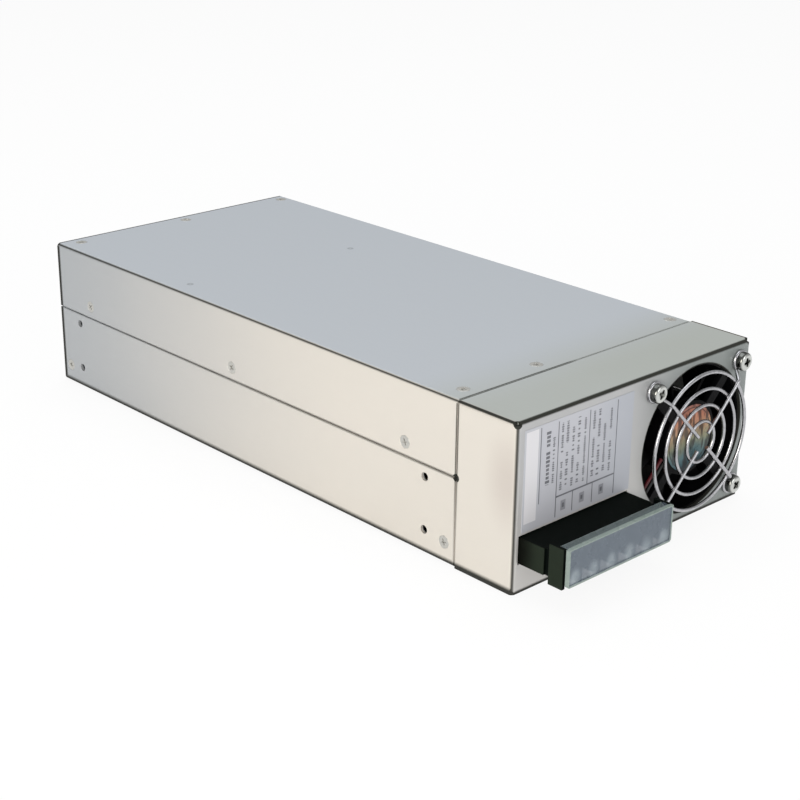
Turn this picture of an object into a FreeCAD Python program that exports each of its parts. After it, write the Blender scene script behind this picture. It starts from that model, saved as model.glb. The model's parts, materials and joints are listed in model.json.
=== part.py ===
import FreeCAD, Part
import os
import re
import Sketcher
from FreeCAD import Placement, Rotation, Vector

# Enclosed switching power supply: folded sheet case, fan with wire guard, input terminal block with a
# hinged clear cover, and the converter that the case holds.
# Frame: millimetres, origin under the middle of the case, front panel towards -Y, +Z up.

SIZES = {
    # folded sheet case
    "case_length": 278,
    "sheet_gauge": 1.2,
    "bend_radius": 0.5,
    "seam_height": 34.7,
    "seam_gap": 0.6,
    "cap_depth": 28,
    "fit_gap": 0.1,
    # straps and tabs behind the seams, and the screws through them
    "side_tab_width": 14,
    "side_tab_rise": 11,
    "side_strap_lap": 5,
    "side_screw_rise": 5.3,
    "side_screw_front": 54,
    "side_screw_rear": 24,
    "top_tab_width": 6,
    "top_tab_reach": 11,
    "top_screw_setback": 6.5,
    "top_screw_left": 9,
    "top_screw_middle": 46,
    "top_screw_right": 5,
    "flush_screw_height": 8.2,
    "flush_screw_setback": 5.4,
    "flush_tab_height": 12,
    "rear_flange_depth": 11,
    "rear_screw_setback": 5.5,
    "case_screw_head_radius": 2.6,
    "case_screw_radius": 1.4,
    "case_screw_length": 4.5,
    # tapped holes for fastening the case
    "mount_hole_radius": 1.65,
    "mount_hole_low": 9.5,
    "mount_hole_spacing": 20.5,
    "mount_hole_front": 43.5,
    "mount_hole_rear": 15,
    # fan, its guard and its screws
    "fan_size": 60,
    "fan_depth": 25,
    "fan_room": 0.55,
    "fan_side_room": 0.55,
    "fan_flange": 3.4,
    "fan_corner_cut": 3,
    "fan_barrel_inset": 0.3,
    "fan_bore_wall": 1.4,
    "fan_screw_inset": 5,
    "fan_hole_radius": 2.15,
    "opening_room": 0.7,
    "strut_width": 4,
    "motor_base_radius": 14.5,
    "motor_base_depth": 2.4,
    "bearing_tube_radius": 4,
    "bearing_radius": 3,
    "bearing_length": 15,
    "shaft_radius": 1.5,
    "running_gap": 0.05,
    "press_gap": 0.02,
    "hub_radius": 15,
    "hub_wall": 1.8,
    "hub_end": 2.5,
    "hub_front_gap": 0.6,
    "hub_back_gap": 2,
    "magnet_wall": 1.2,
    "magnet_length": 11,
    "stator_gap": 0.5,
    "stator_length": 9,
    "stator_slot": 3,
    "blade_count": 7,
    "blade_tip_gap": 0.9,
    "blade_thickness": 1.3,
    "blade_pitch": 42,
    "blade_root_chord": 15,
    "blade_tip_chord": 20,
    "blade_sweep": 3,
    "foil_gauge": 0.15,
    "fan_foil_radius": 13,
    "guard_wire_radius": 0.7,
    "guard_stand": 4.4,
    "guard_lap": 0.35,
    "guard_ring_count": 4,
    "guard_inner_radius": 7.9,
    "guard_rim_inset": 1.65,
    "guard_spoke_start": 4,
    "guard_shoulder_inset": 7.9,
    "guard_eye_radius": 4.2,
    "fan_screw_head_radius": 3.6,
    "fan_screw_head": 2.6,
    "fan_screw_radius": 1.95,
    "fan_screw_length": 8,
    "lead_radius": 0.65,
    "lead_bend": 3,
    "lead_offset": 3.9,
    "lead_pitch": 2.3,
    "lead_pass": 1.3,
    "lead_notch_room": 0.5,
    "fan_plug_width": 6,
    "fan_plug_length": 7,
    "fan_plug_height": 8,
    "fan_plug_setback": 2,
    # input terminal block and its clear cover
    "pole_count": 6,
    "pole_pitch": 9.3,
    "block_side_room": 1.6,
    "block_to_fan": 6.65,
    "block_rise": 2.7,
    "block_height": 9.8,
    "block_reach": 13.5,
    "block_inside": 6.8,
    "block_room": 0.5,
    "barrier_wall": 1.5,
    "barrier_reach": 6.3,
    "barrier_drop": 2.5,
    "barrier_dip": 0.6,
    "ear_rise": 2.6,
    "end_groove": 2.2,
    "end_groove_depth": 0.7,
    "terminal_screw_rise": 5.5,
    "contact_gauge": 0.8,
    "contact_pin_width": 2,
    "clamp_gauge": 1,
    "terminal_screw_head_radius": 2.8,
    "terminal_screw_head": 1.6,
    "terminal_screw_radius": 1.5,
    "terminal_screw_length": 6,
    "screw_pocket": 4.4,
    "hinge_inset": 4.1,
    "hinge_rise": 1.3,
    "hinge_barrel_radius": 1.4,
    "hinge_pin_radius": 0.7,
    "lid_gauge": 1.3,
    "lid_gap": 0.65,
    "lid_foot_rise": 0.9,
    "lid_inset": 0.7,
    "lid_side_gap": 0.3,
    "hinge_seat_wall": 0.4,
    # printed label on the front panel
    "label_margin": 0.7,
    "label_top_margin": 3.5,
    # board and what holds it
    "standoff_height": 6,
    "standoff_radius": 3,
    "board_gauge": 1.6,
    "board_setback": 3,
    "board_rear_gap": 13,
    "board_side_gap": 4.8,
    "board_nose_gap": 3.4,
    "liner_gauge": 0.4,
    "liner_gap": 0.5,
    "board_screw_inset": 4,
    "board_screw_head_radius": 2.6,
    "board_screw_head": 1.8,
    "board_screw_radius": 1.4,
    "board_screw_length": 5,
    # mains side parts, set out from the board's front edge
    "fuse_radius": 2.6,
    "fuse_length": 20,
    "fuse_height": 5,
    "fuse_inset": 8,
    "fuse_setback": 9,
    "fuse_clip_width": 5,
    "fuse_clip_gauge": 0.8,
    "relay_width": 12,
    "relay_length": 13,
    "relay_height": 15,
    "filter_inset": 9,
    "filter_width": 24,
    "filter_gap": 4,
    "filter_cap_length": 11,
    "filter_cap_height": 19,
    "choke_length": 18,
    "choke_height": 26,
    "choke_limb": 5,
    "winding_gap": 0.3,
    "winding_build": 3,
    "sink_inset": 37,
    "sink_length": 70,
    "sink_top_gap": 9.5,
    "sink_base": 4,
    "sink_fin_reach": 6,
    "sink_fin_gauge": 1.6,
    "sink_fin_count": 9,
    "switch_width": 14,
    "switch_gauge": 5,
    "switch_height": 20,
    "switch_rise": 14,
    "switch_pitch": 17,
    "bridge_length": 16,
    "bulk_radius": 14,
    "bulk_height": 44,
    "bulk_inset": 18,
    "bulk_setback": 22,
    "bulk_pitch": 34,
    "boost_device_gap": 8,
    "boost_bulk_gap": 4,
    "boost_length": 38,
    "boost_height": 34,
    "boost_setback": 10,
    "core_limb": 6,
    # output side parts, set out from the board's rear edge
    "transformer_width": 42,
    "transformer_length": 40,
    "transformer_height": 40,
    "transformer_rear": 70,
    "output_sink_inset": 2,
    "output_sink_rear": 26,
    "output_choke_width": 30,
    "output_choke_length": 35,
    "output_choke_height": 32,
    "output_choke_rear": 32,
    "output_choke_left": 38,
    "output_cap_radius": 7.5,
    "output_cap_height": 30,
    "output_cap_left": 16,
    "output_cap_pitch": 17,
    "output_cap_rear": 17,
    "control_left": 9,
    "control_rear": 36,
    "control_length": 64,
    "control_height": 34,
    "chip_length": 10,
    "chip_height": 8,
    "chip_gauge": 2,
    "chip_pitch": 18,
    # output busbars and the small parts at the rear panel
    "busbar_width": 12,
    "busbar_gauge": 3,
    "busbar_height": 32,
    "busbar_inset": 17,
    "busbar_pitch": 20,
    "busbar_root": 19,
    "busbar_reach": 20,
    "busbar_hole_reach": 11,
    "busbar_hole_radius": 2.75,
    "insulator_rim": 3,
    "insulator_lip": 1.6,
    "insulator_depth": 6,
    "bolt_head_radius": 4.6,
    "bolt_head": 3.5,
    "bolt_radius": 2.6,
    "bolt_length": 12,
    "bolt_nut": 4,
    "plug_left": 9,
    "plug_width": 20,
    "plug_height": 8,
    "plug_depth": 18,
    "plug_wall": 1,
    "trimmer_left": 36,
    "trimmer_size": 9.5,
    "trimmer_depth": 6,
    "trimmer_rotor_radius": 1.8,
    "trimmer_setback": 12,
    "trimmer_slot": 0.8,
    "lamp_left": 50,
    "lamp_radius": 1.5,
    "rear_hole_room": 0.4,
    "vent_width": 3,
    "vent_height": 26,
    "vent_pitch": 5.5,
    "vent_left": 12,
    "vent_columns": 9,
    "vent_base": 26,
}

# Places that follow from the sizes.
PLACES = {
    "half_length": "case_length / 2",
    "block_width": "pole_count * pole_pitch",
    "inner_width": "block_side_room + block_width + block_to_fan + fan_size + fan_side_room",
    "half_width": "sheet_gauge + inner_width / 2",
    "case_height": "fan_size + 2 * (sheet_gauge + fan_room)",
    "inner_half": "half_width - sheet_gauge",
    "lid_inside": "case_height - sheet_gauge",
    "bend_outer": "bend_radius + sheet_gauge",
    "joggle": "sheet_gauge + fit_gap",
    "tab_face": "inner_half - fit_gap",
    "tab_back": "tab_face - sheet_gauge",
    "wall_top": "seam_height - seam_gap / 2",
    "cap_edge": "cap_depth - half_length",
    "panel_inside": "sheet_gauge - half_length",
    "rear_inside": "half_length - sheet_gauge",
    "fan_x": "inner_half - fan_side_room - fan_size / 2",
    "fan_z": "case_height / 2",
    "fan_back": "panel_inside + fan_depth",
    "fan_barrel_radius": "fan_size / 2 - fan_barrel_inset",
    "fan_bore_radius": "fan_barrel_radius - fan_bore_wall",
    "fan_screw_pitch": "fan_size - 2 * fan_screw_inset",
    "panel_opening_radius": "fan_bore_radius + opening_room",
    "lead_turn": "fan_barrel_radius + lead_pass",
    "motor_base": "panel_inside + motor_base_depth",
    "lead_y": "motor_base - lead_radius - fit_gap",
    "hub_front": "motor_base + hub_front_gap",
    "hub_back": "fan_back - hub_back_gap",
    "hub_floor": "hub_back - hub_end",
    "hub_inner": "hub_radius - hub_wall",
    "blade_tip_radius": "fan_bore_radius - blade_tip_gap",
    "guard_y": "guard_wire_radius - half_length - guard_stand",
    "spoke_y": "guard_y - 2 * guard_wire_radius + guard_lap",
    "guard_ring_pitch": "(fan_bore_radius - guard_rim_inset - guard_inner_radius) / (guard_ring_count - 1)",
    "guard_shoulder_radius": "fan_screw_pitch / sqrt(2) - guard_shoulder_inset",
    "side_screw_pitch": "(case_length - side_screw_front - side_screw_rear) / 2",
    "board_base": "sheet_gauge + standoff_height",
    "board_top": "board_base + board_gauge",
    "board_front": "cap_edge + board_setback",
    "board_rear": "half_length - board_rear_gap",
    "board_half": "inner_half - board_side_gap",
    "board_nose": "panel_inside + board_nose_gap",
    "block_left": "block_side_room - inner_half",
    "block_right": "block_left + block_width",
    "block_low": "board_top + block_rise",
    "block_high": "block_low + block_height",
    "block_nose": "-half_length - block_reach",
    "block_back": "panel_inside + block_inside",
    "barrier_nose": "block_nose - barrier_reach",
    "barrier_low": "block_low - barrier_drop",
    "barrier_high": "block_high - barrier_dip",
    "ear_high": "block_high + ear_rise",
    "terminal_z": "block_low + terminal_screw_rise",
    "contact_width": "pole_pitch - 2 * (barrier_wall + fit_gap)",
    "clamp_size": "contact_width - 2 * fit_gap",
    "hinge_y": "block_nose - hinge_inset",
    "hinge_z": "block_high + hinge_rise",
    "lid_inner": "barrier_nose - lid_gap",
    "lid_face": "lid_inner - lid_gauge",
    "sink_left": "sink_inset - board_half",
    "sink_height": "lid_inside - board_top - sink_top_gap",
    "sink_face": "sink_left + sink_fin_reach + sink_base",
    "filter_left": "filter_inset - board_half",
    "filter_right": "filter_left + filter_width",
    "output_sink_right": "board_half - output_sink_inset",
    "output_sink_face": "output_sink_right - sink_fin_reach - sink_base",
    "busbar_right": "board_half - busbar_inset",
    "busbar_tip": "half_length + busbar_reach",
    "window_left": "busbar_right - busbar_pitch - busbar_width - insulator_rim",
    "window_right": "busbar_right + insulator_rim",
    "window_low": "busbar_height - insulator_rim",
    "window_high": "busbar_height + busbar_gauge + insulator_rim",
    "plug_x": "plug_left - board_half",
    "trimmer_x": "trimmer_left - board_half",
    "trimmer_z": "board_top + trimmer_size / 2",
    "lamp_x": "lamp_left - board_half",
    "lamp_z": "board_top + trimmer_size / 2",
}

HOLDER = {**dict.fromkeys(SIZES, "Sizes"), **dict.fromkeys(PLACES, "Places")}
TURN = {"x": Rotation(Vector(0, 1, 0), 90), "y": Rotation(Vector(1, 0, 0), -90), "z": Rotation()}
ROUND_SIDES = 8  # flats that stand for a round on small fasteners and their clearance holes
DRUM_SIDES = 16  # on drums as wide as a capacitor
WIDE_SIDES = 32  # on the fan's wide rounds
WIRE_SIDES = 4  # round the section of a wire
BEYOND = 5  # how far a cutting tool runs past the faces that it cuts

doc = FreeCAD.newDocument("power_supply")
sheet = doc.addObject("Spreadsheet::Sheet", "Sizes")
for row, (alias, number) in enumerate(SIZES.items(), start=1):
    sheet.set(f"A{row}", alias.replace("_", " "))
    sheet.set(f"B{row}", str(number))
    sheet.setAlias(f"B{row}", alias)
doc.recompute()

nodes = []


def bound(text):
    """Expression with each size or place led by the object that holds it."""
    def full(word):
        return f"{HOLDER[word[0]]}.{word[0]}" if word[0] in HOLDER else word[0]

    return re.sub(r"[a-z]\w*", full, text)


places = doc.addObject("App::VarSet", "Places")
for place, formula in PLACES.items():
    places.addProperty("App::PropertyFloat", place, "Places")
    places.setExpression(place, bound(formula))
doc.recompute()


def value(text):
    """Number that an expression gives."""
    return float(sheet.evalExpression(bound(text)))


def node(label, item):
    """Keep a finished sub-part under its name."""
    item.Label = label
    nodes.append(item)
    return item


def put(item, axis, centre, low):
    """Stand a primitive along an axis, at its centre line's place, from its low end."""
    item.Placement = Placement(Vector(), TURN[axis])
    across = [letter for letter in "xyz" if letter != axis]
    for letter, text in zip(across + [axis], [*centre, low]):
        item.setExpression(f"Placement.Base.{letter}", bound(text))
    return item


def slab(name, x, y, z):
    """Box between two planes on each axis."""
    item = doc.addObject("Part::Box", name)
    for side, letter, (low, high) in zip(("Length", "Width", "Height"), "xyz", (x, y, z)):
        item.setExpression(side, bound(f"({high}) - ({low})"))
        item.setExpression(f"Placement.Base.{letter}", bound(low))
    return item


def rod(name, axis, centre, radius, low, high):
    """Cylinder along an axis."""
    item = doc.addObject("Part::Cylinder", name)
    item.setExpression("Radius", bound(radius))
    item.setExpression("Height", bound(f"({high}) - ({low})"))
    return put(item, axis, centre, low)


def peg(name, axis, centre, radius, low, high, sides=ROUND_SIDES):
    """Prism along an axis: a hexagon, or a small round with few flats."""
    item = doc.addObject("Part::Prism", name)
    item.Polygon = sides
    item.setExpression("Circumradius", bound(radius))
    item.setExpression("Height", bound(f"({high}) - ({low})"))
    return put(item, axis, centre, low)


def taper(name, axis, centre, radii, low, high):
    """Countersunk form along an axis, between two polygons."""
    rings = []
    for end, radius, place in (("low", radii[0], low), ("high", radii[1], high)):
        ring = doc.addObject("Part::RegularPolygon", f"{name}_{end}")
        ring.Polygon = ROUND_SIDES
        ring.setExpression("Circumradius", bound(radius))
        rings.append(put(ring, axis, centre, place))
    item = doc.addObject("Part::Loft", name)
    item.Sections = rings
    item.Solid = True
    item.Ruled = True
    return item


def joined(name, parts):
    """Several shapes made one solid."""
    item = doc.addObject("Part::MultiFuse", name)
    item.Shapes = parts
    item.Refine = True
    return item


def carved(name, base, tools):
    """A shape with others cut from it."""
    item = doc.addObject("Part::Cut", name)
    item.Base = base
    item.Tool = tools[0] if len(tools) == 1 else joined(f"{name}_tools", tools)
    item.Refine = True
    return item


def group(label, parts):
    """Separate solids that share one node."""
    item = doc.addObject("Part::Compound", label)
    item.Links = parts
    return node(label, item)


def origin_part(body, role):
    """Plane or axis of a body's own origin."""
    return next(item for item in body.Origin.OriginFeatures if item.Role == role)


def outline(body, plane, points, offset):
    """Closed sketch on an origin plane, with every corner tied to the sizes."""
    sketch = body.newObject("Sketcher::SketchObject", f"{body.Name}_outline")
    sketch.AttachmentSupport = (origin_part(body, f"{plane}_Plane"), [""])
    sketch.MapMode = "FlatFace"
    sketch.setExpression("AttachmentOffset.Base.z", bound(offset))
    corners = [Vector(value(u), value(v), 0) for u, v in points]
    for corner, after in zip(corners, corners[1:] + corners[:1]):
        sketch.addGeometry(Part.LineSegment(corner, after))
    for index in range(len(corners)):
        sketch.addConstraint(Sketcher.Constraint("Coincident", index, 2, (index + 1) % len(corners), 1))
    for index, (u, v) in enumerate(points):
        for kind, text, number in (("DistanceX", u, corners[index].x), ("DistanceY", v, corners[index].y)):
            tie = sketch.addConstraint(Sketcher.Constraint(kind, -1, 1, index, 1, number))
            sketch.setExpression(f"Constraints[{tie}]", bound(text))
    return sketch


def padded(name, plane, points, low, high):
    """Body with one outline padded between two planes."""
    body = doc.addObject("PartDesign::Body", name)
    sketch = outline(body, plane, points, f"-({high})" if plane == "XZ" else low)
    pad = body.newObject("PartDesign::Pad", f"{name}_pad")
    pad.Profile = sketch
    pad.setExpression("Length", bound(f"({high}) - ({low})"))
    return body


def bent(body, plane, corners, radius):
    """Round a padded body's long edges at the given outline corners."""
    doc.recompute()
    base = body.Tip
    across = {"XY": ("x", "y"), "XZ": ("x", "z"), "YZ": ("y", "z")}[plane]
    wanted = [(value(u), value(v)) for u, v in corners]
    edges = []
    for index, edge in enumerate(base.Shape.Edges, start=1):
        ends = [tuple(getattr(vertex.Point, letter) for letter in across) for vertex in edge.Vertexes]
        if any(all(abs(end[0] - u) + abs(end[1] - v) < 1e-4 for end in ends) for u, v in wanted):
            edges.append(f"Edge{index}")
    fillet = body.newObject("PartDesign::Fillet", f"{body.Name}_bend")
    fillet.Base = (base, edges)
    fillet.setExpression("Radius", bound(radius))
    return body


def span(seat, way, length):
    """Low and high ends of a length that leaves a plane one way."""
    return (seat, f"{seat} + {length}") if way > 0 else (f"{seat} - {length}", seat)


def screw(name, axis, centre, seat, way, kind):
    """Headed screw: the head stands off its seat the given way and the shank goes the other."""
    head = peg(f"{name}_head", axis, centre, f"{kind}_head_radius", *span(seat, way, f"{kind}_head"))
    shank = peg(f"{name}_shank", axis, centre, f"{kind}_radius", *span(seat, -way, f"{kind}_length"))
    return joined(name, [head, shank])


SIDES = {"left": "-", "right": ""}
SIDE_SCREW_Y = [f"side_screw_front - half_length + {step} * side_screw_pitch" for step in range(3)]
SIDE_SCREW_Z = "(seam_height + side_screw_rise)"
TOP_SCREW_X = [
    "(top_screw_left - half_width)",
    "(top_screw_middle - half_width)",
    "(half_width - top_screw_right)",
]
REAR_SCREW_X = [TOP_SCREW_X[0], "(top_screw_left - top_screw_right) / 2", TOP_SCREW_X[2]]
TOP_SCREW_Y = "(cap_edge + top_screw_setback)"
REAR_SCREW_Y = "(half_length - rear_screw_setback)"
FLUSH_SCREW_Y = ["(cap_edge + flush_screw_setback)", REAR_SCREW_Y]


def tab_hole(name, axis, centre, low, high):
    """Clearance hole for a case screw through a tab or flange."""
    radius = "case_screw_radius + fit_gap"
    return peg(name, axis, centre, radius, f"{low} - {BEYOND} * fit_gap", f"{high} + {BEYOND} * fit_gap")


def sunk(name, axis, centre, inner, outer, room):
    """Countersink between a sheet's inner and outer face, as wide as a case screw's head and some room."""
    ends = [("case_screw_radius", inner), ("case_screw_head_radius", outer)]
    ends.sort(key=lambda end: value(end[1]))
    return taper(name, axis, centre, [f"{radius} + {room}" for radius, _ in ends], ends[0][1], ends[1][1])


def case_screw(name, axis, centre, inner, outer):
    """Countersunk screw, flush with a sheet's outer face."""
    head = sunk(f"{name}_head", axis, centre, inner, outer, "0")
    reach = span(inner, 1 if value(inner) > value(outer) else -1, "case_screw_length")
    return joined(name, [head, peg(f"{name}_shank", axis, centre, "case_screw_radius", *reach)])


# Chassis: a folded tray whose side walls end at the seam, with welded straps that reach up behind the cover.
def chassis():
    corners_out = [("-half_width", "0"), ("half_width", "0")]
    corners_in = [("inner_half", "sheet_gauge"), ("-inner_half", "sheet_gauge")]
    tray = padded(
        "chassis_tray",
        "XZ",
        [
            *corners_out,
            ("half_width", "wall_top"),
            ("inner_half", "wall_top"),
            *corners_in,
            ("-inner_half", "wall_top"),
            ("-half_width", "wall_top"),
        ],
        "cap_edge + seam_gap / 2",
        "half_length",
    )
    bent(tray, "XZ", corners_out, "bend_outer")
    bent(tray, "XZ", corners_in, "bend_radius")
    tongue = slab(
        "chassis_tongue",
        ("fit_gap - inner_half", "inner_half - fit_gap"),
        ("panel_inside + bend_radius + fit_gap", "cap_edge + bend_outer"),
        ("0", "sheet_gauge"),
    )
    straps, holes = [], []
    for side, sign in SIDES.items():
        for step, y in enumerate(SIDE_SCREW_Y):
            name = f"{side}_strap_{step}"
            straps.append(
                padded(
                    name,
                    "XZ",
                    [
                        (f"{sign}inner_half", "wall_top - side_strap_lap"),
                        (f"{sign}inner_half", "wall_top"),
                        (f"{sign}tab_face", "wall_top"),
                        (f"{sign}tab_face", "seam_height + side_tab_rise"),
                        (f"{sign}tab_back", "seam_height + side_tab_rise"),
                        (f"{sign}tab_back", "wall_top - side_strap_lap"),
                    ],
                    f"{y} - side_tab_width / 2",
                    f"{y} + side_tab_width / 2",
                )
            )
            ends = sorted([f"{sign}tab_face", f"{sign}tab_back"], key=value)
            holes.append(tab_hole(f"{name}_hole", "x", (y, SIDE_SCREW_Z), *ends))
        wall = sorted([f"{sign}(half_width + fit_gap)", f"{sign}(inner_half - fit_gap)"], key=value)
        rows = {"front": "mount_hole_front - half_length", "rear": "half_length - mount_hole_rear"}
        for end, y in rows.items():
            for level, z in (("low", "mount_hole_low"), ("high", "mount_hole_low + mount_hole_spacing")):
                holes.append(rod(f"{side}_{end}_{level}_mount", "x", (y, z), "mount_hole_radius", *wall))
        for step, y in enumerate(FLUSH_SCREW_Y):
            centre = (y, "flush_screw_height")
            faces = (f"{sign}inner_half", f"{sign}half_width")
            holes.append(sunk(f"{side}_sink_{step}", "x", centre, *faces, "fit_gap"))
    node("chassis", carved("chassis", joined("chassis_body", [tray, tongue, *straps]), holes))


# Cover: the top and the upper side walls, folded from one sheet.
def cover():
    flange_low = "seam_height + seam_gap / 2"
    corners_out = [("half_width", "case_height"), ("-half_width", "case_height")]
    corners_in = [("-inner_half", "lid_inside"), ("inner_half", "lid_inside")]
    shell = padded(
        "cover_shell",
        "XZ",
        [
            ("half_width", flange_low),
            *corners_out,
            ("-half_width", flange_low),
            ("-inner_half", flange_low),
            *corners_in,
            ("inner_half", flange_low),
        ],
        "cap_edge + seam_gap / 2",
        "half_length",
    )
    bent(shell, "XZ", corners_out, "bend_outer")
    bent(shell, "XZ", corners_in, "bend_radius")
    holes = []
    for side, sign in SIDES.items():
        faces = (f"{sign}inner_half", f"{sign}half_width")
        for step, y in enumerate(SIDE_SCREW_Y):
            holes.append(sunk(f"cover_{side}_hole_{step}", "x", (y, SIDE_SCREW_Z), *faces, "fit_gap"))
    for row, xs, y in (("front", TOP_SCREW_X, TOP_SCREW_Y), ("rear", REAR_SCREW_X, REAR_SCREW_Y)):
        for step, x in enumerate(xs):
            faces = ("lid_inside", "case_height")
            holes.append(sunk(f"cover_{row}_hole_{step}", "z", (x, y), *faces, "fit_gap"))
    node("cover", carved("cover", shell, holes))


# Front cap: the front panel with folded top and side flanges, relief gaps at its corners, and joggled
# tabs that reach back behind the cover and the chassis walls.
def front_cap():
    face = "-half_length"
    edge = "cap_edge - seam_gap / 2"
    top = padded(
        "cap_top",
        "YZ",
        [
            (face, "0"),
            (face, "case_height"),
            (edge, "case_height"),
            (edge, "lid_inside"),
            ("panel_inside", "lid_inside"),
            ("panel_inside", "0"),
        ],
        "bend_outer - half_width",
        "half_width - bend_outer",
    )
    bent(top, "YZ", [(face, "case_height")], "bend_outer")
    bent(top, "YZ", [("panel_inside", "lid_inside")], "bend_radius")
    strip = slab(
        "cap_strip",
        ("-half_width", "half_width"),
        (f"{face} + bend_outer", edge),
        ("lid_inside", "case_height"),
    )
    pieces = [top, strip]
    holes = []
    for side, sign in SIDES.items():
        flange = padded(
            f"cap_{side}",
            "XY",
            [
                (f"{sign}half_width", face),
                (f"{sign}half_width", edge),
                (f"{sign}inner_half", edge),
                (f"{sign}inner_half", "panel_inside"),
                (f"{sign}(half_width - 2 * bend_outer)", "panel_inside"),
                (f"{sign}(half_width - 2 * bend_outer)", face),
            ],
            "0",
            "lid_inside - fit_gap",
        )
        bent(flange, "XY", [(f"{sign}half_width", face)], "bend_outer")
        bent(flange, "XY", [(f"{sign}inner_half", "panel_inside")], "bend_radius")
        tab = padded(
            f"cap_{side}_tab",
            "XY",
            [
                (f"{sign}half_width", f"{edge} - joggle"),
                (f"{sign}tab_face", edge),
                (f"{sign}tab_face", "cap_edge + top_tab_reach"),
                (f"{sign}tab_back", "cap_edge + top_tab_reach"),
                (f"{sign}tab_back", f"{edge} - sheet_gauge / 2"),
                (f"{sign}inner_half", f"{edge} - joggle - sheet_gauge / 2"),
                (f"{sign}inner_half", f"{edge} - joggle - sheet_gauge"),
                (f"{sign}half_width", f"{edge} - joggle - sheet_gauge"),
            ],
            "flush_screw_height - flush_tab_height / 2",
            "flush_screw_height + flush_tab_height / 2",
        )
        pieces += [flange, tab]
        ends = sorted([f"{sign}tab_face", f"{sign}tab_back"], key=value)
        centre = (FLUSH_SCREW_Y[0], "flush_screw_height")
        holes.append(tab_hole(f"cap_{side}_tab_hole", "x", centre, *ends))
    for step, x in enumerate(TOP_SCREW_X):
        pieces.append(
            padded(
                f"cap_top_tab_{step}",
                "YZ",
                [
                    (f"{edge} - joggle", "case_height"),
                    (edge, "lid_inside - fit_gap"),
                    ("cap_edge + top_tab_reach", "lid_inside - fit_gap"),
                    ("cap_edge + top_tab_reach", "lid_inside - fit_gap - sheet_gauge"),
                    (f"{edge} - sheet_gauge / 2", "lid_inside - fit_gap - sheet_gauge"),
                    (f"{edge} - joggle - sheet_gauge / 2", "lid_inside"),
                    (f"{edge} - joggle - sheet_gauge", "lid_inside"),
                    (f"{edge} - joggle - sheet_gauge", "case_height"),
                ],
                f"{x} - top_tab_width / 2",
                f"{x} + top_tab_width / 2",
            )
        )
        ends = ("lid_inside - fit_gap - sheet_gauge", "lid_inside")
        holes.append(tab_hole(f"cap_top_hole_{step}", "z", (x, TOP_SCREW_Y), *ends))
    depth = (f"{face} - fit_gap", "panel_inside + fit_gap")
    holes.append(peg("cap_fan_opening", "y", ("fan_x", "fan_z"), "panel_opening_radius", *depth, WIDE_SIDES))
    for step, place in fan_corners():
        holes.append(peg(f"cap_fan_hole_{step}", "y", place, "fan_hole_radius", *depth))
    holes.append(
        slab(
            "cap_block_window",
            ("block_left - block_room", "block_right + block_room"),
            depth,
            ("block_low - block_room", "block_high + block_room"),
        )
    )
    node("front_cap", carved("front_cap", joined("cap_folds", pieces), holes))


# Rear panel: a plate with flanges that the cover and the chassis walls are screwed to, ventilation slots,
# and openings for the busbars, the signal connector, the trimmer and the lamp.
def rear_panel():
    low = "sheet_gauge + fit_gap"
    high = "lid_inside - fit_gap"
    root = "half_length - rear_flange_depth"
    top = padded(
        "rear_top",
        "YZ",
        [
            ("half_length", low),
            ("half_length", high),
            (root, high),
            (root, f"{high} - sheet_gauge"),
            ("rear_inside", f"{high} - sheet_gauge"),
            ("rear_inside", low),
        ],
        "bend_outer - tab_face",
        "tab_face - bend_outer",
    )
    bent(top, "YZ", [("half_length", high)], "bend_outer")
    bent(top, "YZ", [("rear_inside", f"{high} - sheet_gauge")], "bend_radius")
    pieces = [top]
    holes = []
    for side, sign in SIDES.items():
        flange = padded(
            f"rear_{side}",
            "XY",
            [
                (f"{sign}tab_face", "half_length"),
                (f"{sign}tab_face", root),
                (f"{sign}tab_back", root),
                (f"{sign}tab_back", "rear_inside"),
                (f"{sign}(tab_face - 2 * bend_outer)", "rear_inside"),
                (f"{sign}(tab_face - 2 * bend_outer)", "half_length"),
            ],
            f"{low} + bend_outer",
            f"{high} - bend_outer",
        )
        bent(flange, "XY", [(f"{sign}tab_face", "half_length")], "bend_outer")
        bent(flange, "XY", [(f"{sign}tab_back", "rear_inside")], "bend_radius")
        pieces.append(flange)
        ends = sorted([f"{sign}tab_face", f"{sign}tab_back"], key=value)
        holes.append(tab_hole(f"rear_{side}_hole", "x", (REAR_SCREW_Y, "flush_screw_height"), *ends))
    for step, x in enumerate(REAR_SCREW_X):
        holes.append(tab_hole(f"rear_top_hole_{step}", "z", (x, REAR_SCREW_Y), f"{high} - sheet_gauge", high))
    depth = ("rear_inside - fit_gap", "half_length + fit_gap")
    room = "rear_hole_room"
    holes.append(
        slab("rear_bar_window", ("window_left", "window_right"), depth, ("window_low", "window_high"))
    )
    holes.append(
        slab(
            "rear_plug_window",
            (f"plug_x - {room}", f"plug_x + plug_width + {room}"),
            depth,
            (f"board_top - {room}", f"board_top + plug_height + {room}"),
        )
    )
    trimmer_centre = ("trimmer_x + trimmer_size / 2", "trimmer_z")
    trimmer_hole = f"trimmer_rotor_radius + {room}"
    holes.append(peg("rear_trimmer_hole", "y", trimmer_centre, trimmer_hole, *depth, DRUM_SIDES))
    holes.append(peg("rear_lamp_hole", "y", ("lamp_x", "lamp_z"), f"lamp_radius + {room}", *depth))
    for column in range(round(value("vent_columns"))):
        left = f"vent_left - half_width + {column} * vent_pitch"
        wide = (left, f"{left} + vent_width")
        holes.append(slab(f"rear_vent_{column}", wide, depth, ("vent_base", "vent_base + vent_height")))
    node("rear_panel", carved("rear_panel", joined("rear_folds", pieces), holes))


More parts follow.
